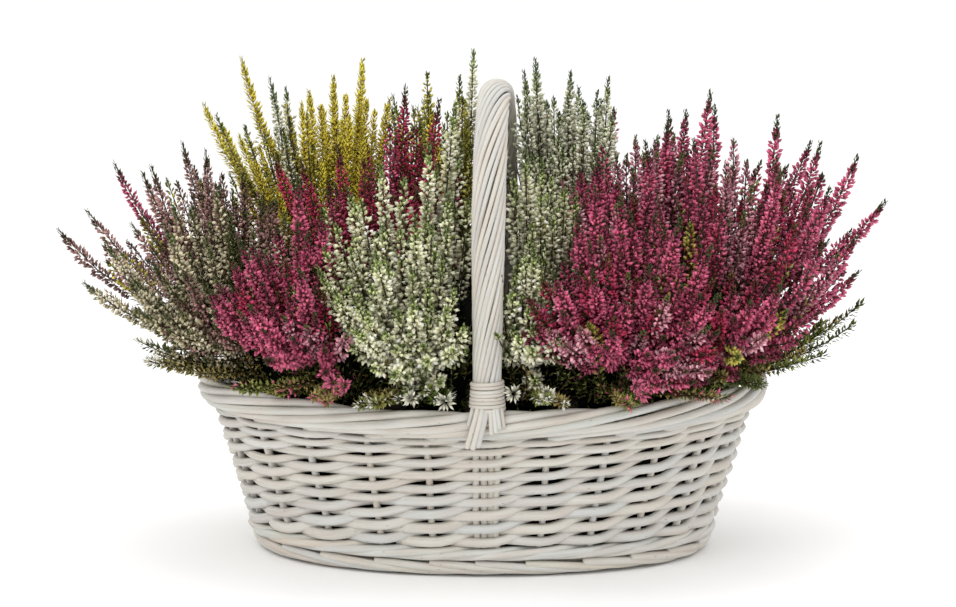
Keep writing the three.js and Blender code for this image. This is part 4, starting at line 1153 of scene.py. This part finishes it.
def addShadeCore(gathered, name, clump, settings, dark, mid):
    # ring radius = reach to the neighbours * fan * profile, roughened, closed at both ends, and pushed
    # aside where the bow passes
    root = roots[name]
    heights = np.array([p[2] for p in clump["tips"]], float)
    top = min(heights.max() - 90, heights.mean() - 45, 175)
    levels, columns, bottom = settings["levels"], settings["columns"], settings["bottom"]
    z = np.linspace(bottom, top, levels)[:, None] + np.zeros((1, columns))
    angle = turn * np.arange(columns)[None] / columns + 0 * z
    profile = np.interp(np.linspace(0, 1, levels), settings["places"], settings["shares"])[:, None]
    rough = (1 + settings["rough"] * rng.normal(size=z.shape)).clip(0.6, 1.25)
    radius = clumpReach(name, angle) * fanOut(z) * profile * rough
    x, y = fanOut(z) * root[0] + radius * np.cos(angle), fanOut(z) * root[1] + radius * np.sin(angle)
    bowX, room = handle["x"] + handle["skew"] * y, settings["bowRoom"]
    nearBow = (np.abs(x - bowX) < room) & (np.abs(y) > np.where(z > 180, 50, 98))
    x = np.where(nearBow, bowX + np.sign(root[0] - handle["x"]) * room, x)
    points = np.stack([x, y, z + 1.5 * rng.normal(size=z.shape)], axis=-1).reshape(-1, 3)
    ends = np.array([[*(root * fanOut(bottom)), bottom], [*(root * fanOut(top)), top + 3]])
    # the body's near-black tint is painted shade, the deep shade inside the clump
    gathered.add(np.concatenate([points, ends]), gridFaces(levels, columns), poleFaces(levels, columns),
                 np.array(linear(settings["colour"])))
    # its bristles: leaves all over its surface, up and outwards
    pick = rng.integers(0, levels * columns, settings["bristles"])
    on, count = points[pick], len(pick)
    middle = np.stack([fanOut(on[:, 2]) * root[0], fanOut(on[:, 2]) * root[1], on[:, 2] - 14], axis=-1)
    away = unit(on - middle + 0.35 * rng.normal(size=(count, 3)))
    spots = on + [2.5, 2.5, 3.0] * rng.normal(size=(count, 3)) - 1.5 * away
    keep = clearOfWillow(spots + 4 * away)
    colour = (dark + (mid - dark) * rng.random((count, 1)) ** 2) * (0.5 + 0.9 * rng.random((count, 1)))
    length = seeded(settings["bristle"], count)[keep]
    addLeaves(gathered, spots[keep], away[keep], length, 0.3, colour[keep])


def growFoliage(name, clump, settings):
    # leafy shoots under the flowers, low ones round the rim, the sprigs over it, and a near-black core of
    # painted shade inside; leaf k stands at the golden angle * k round its shoot
    gathered = Gathered()
    root = roots[name]
    angle = turn * rng.random(settings["low"])
    height = seeded(settings["lowHeight"], len(angle))
    reach = clumpReach(name, angle) * fanOut(height) * seeded(settings["lowReach"], len(angle))
    low = np.stack([fanOut(height) * root[0] + reach * np.cos(angle),
                    fanOut(height) * root[1] + reach * np.sin(angle), height], axis=-1)
    low[:, 2] = np.where(insideBorder(low[:, 0], low[:, 1]) > 0.85,
                         np.maximum(low[:, 2], borderTop(low[:, 0]) + settings["lowOver"]), low[:, 2])
    sprigs = np.array(clump["sprigs"], float).reshape(-1, 3)
    copies = np.repeat(sprigs, settings["sprigCopies"], axis=0)
    copies = copies + settings["sprigSpread"] * rng.normal(size=copies.shape) * [1, 1, 0.5] \
        + (np.array([*root, settings["base"]]) - copies) * (0.05 + 0.3 * rng.random((len(copies), 1)))
    inner = fillTips(name, clump, settings["inner"], *settings["innerReach"])
    tips = np.concatenate([sprigs, copies, inner, low])
    sprigCount = len(sprigs) + len(copies)
    isSprig = np.arange(len(tips)) < sprigCount
    heights = np.minimum(np.maximum(settings["base"], tips[:, 2] - heathers["spike"]), tips[:, 2] - 3)
    over = borderTop(tips[:sprigCount, 0]) + settings["sprigOver"]
    tips[:sprigCount, 2] = np.maximum(tips[:sprigCount, 2], over)
    heights[:sprigCount] = np.minimum(settings["sprigBase"], tips[:sprigCount, 2] - 2)
    bases = shootBases(name, tips, heights)
    bases[-len(low):] = np.c_[root[None] + 0.4 * (low[:, :2] - root), np.full(len(low), settings["lowBase"])]
    controls = bend(bases, tips)
    controls[:sprigCount] = bases[:sprigCount] + settings["sprigCurve"] * (tips - bases)[:sprigCount]
    lengths = np.linalg.norm(tips - bases, axis=1)
    shoots = bases, controls, tips, lengths
    addRods(gathered, stemPaths(shoots, 0.98), np.array(settings["stemRadii"])[None],
            np.array(heathers["stemSide"]), 3, np.tile(linear(settings["stem"]), (len(tips), 1)))
    spacing = settings["spacing"] * np.where(isSprig, settings["sprigSpacing"], 1.0)
    shoot, number, below, place, ahead = alongShoots(shoots, np.zeros(len(tips)), lengths, spacing)
    lean = np.radians(18 + 40 * np.clip(below / 12, 0, 1) + 9 * rng.normal(size=len(shoot)))
    heading, radial = around(ahead, heathers["golden"] * number + 1.7 * shoot, lean)
    start = place + 0.5 * radial
    keep = clearOfWillow(start + 2 * heading, settings["leafRoom"])
    start, heading, shoot, below = start[keep], heading[keep], shoot[keep], below[keep]
    count = len(shoot)
    kind = rng.random(len(tips))[shoot][:, None]
    mid, warm, dark = (np.array(linear(settings[key]))[None] for key in ("mid", "warm", "dark"))
    colour = np.where(kind < 0.3, dark, np.where(kind < 0.75, mid, warm))
    colour = colour * (0.6 + 0.8 * rng.random((count, 1)))
    # the ends of the sprigs carry pale buds, most of all where the clump flowers white or cream
    endShare = settings["paleEnds"].get(clump["palette"], settings["otherEnds"])
    share = np.where(isSprig[shoot] & (below < settings["endLength"]), endShare, settings["paleElsewhere"])
    share = np.where(clump["plainSprigs"] & isSprig[shoot], 0.0, share)
    pale = linear(palettes[clump["palette"]]["end"])
    colour = np.where((rng.random(count) < share)[:, None], pale, colour)
    addLeaves(gathered, start, heading, settings["leaf"] * seeded((0.7, 0.6), count), 0.4, colour)
    addShadeCore(gathered, name, clump, shadeCore, dark, mid)
    return gathered.piece(f"greens_{name}", leafFinish, [f"foliage_{name}"])


# One finish for each colour of buds that a clump is named for, and one for all the leaves.
petals = {name: plantMaterial(f"buds_{name}", 0.55, 0.3, 900, 0.12)
          for name in sorted({clump["palette"] for clump in clumps.values()})}
leafFinish = plantMaterial("scaleLeaves", 0.65, 0.15, 700, 0.18)
for clumpName, clumpSettings in clumps.items():
    growSpikes(clumpName, clumpSettings, spikes)
    growFoliage(clumpName, clumpSettings, foliage)
print("heathers grown")

# Floor and light: a pale floor under a white sky, with a key, a fill and a top light.
# Each light: its place in metres, its size and its power.
studio = {"floorSize": 14.0, "floor": "ffffff", "sky": 1.04,
          "lights": {"key": ((-1.1, -1.5, 1.7), 1.1, 10.0), "fill": ((1.6, -1.3, 1.0), 1.4, 2.0),
                     "top": ((0.1, 0.3, 2.0), 1.5, 9.0)}}


def addStudio(settings):
    # each light looks at a point 0.15 m above the floor's middle
    bpy.ops.mesh.primitive_circle_add(vertices=96, radius=settings["floorSize"], fill_type="NGON")
    floor = bpy.context.object
    floor.name = "floor"
    floor.location.z = -0.0002
    material, _, shader = newMaterial("paleFloor", 0.8, 0.1)
    shader.inputs["Base Color"].default_value = (*linear(settings["floor"]), 1)
    floor.data.materials.append(material)
    world = bpy.data.worlds.new("studio")
    bpy.context.scene.world = world
    world.use_nodes = True
    background = world.node_tree.nodes["Background"]
    background.inputs["Color"].default_value = (1, 1, 1, 1)
    background.inputs["Strength"].default_value = settings["sky"]
    for name, (place, size, power) in settings["lights"].items():
        data = bpy.data.lights.new(name, "AREA")
        data.size, data.energy = size, power
        lamp = bpy.data.objects.new(name, data)
        lamp.location = place
        lamp.rotation_euler = (Vector((0, 0, 0.15)) - Vector(place)).to_track_quat("-Z", "Y").to_euler()
        bpy.context.scene.collection.objects.link(lamp)


addStudio(studio)
bpy.context.scene.view_settings.view_transform = "Standard"
print("scene ready")
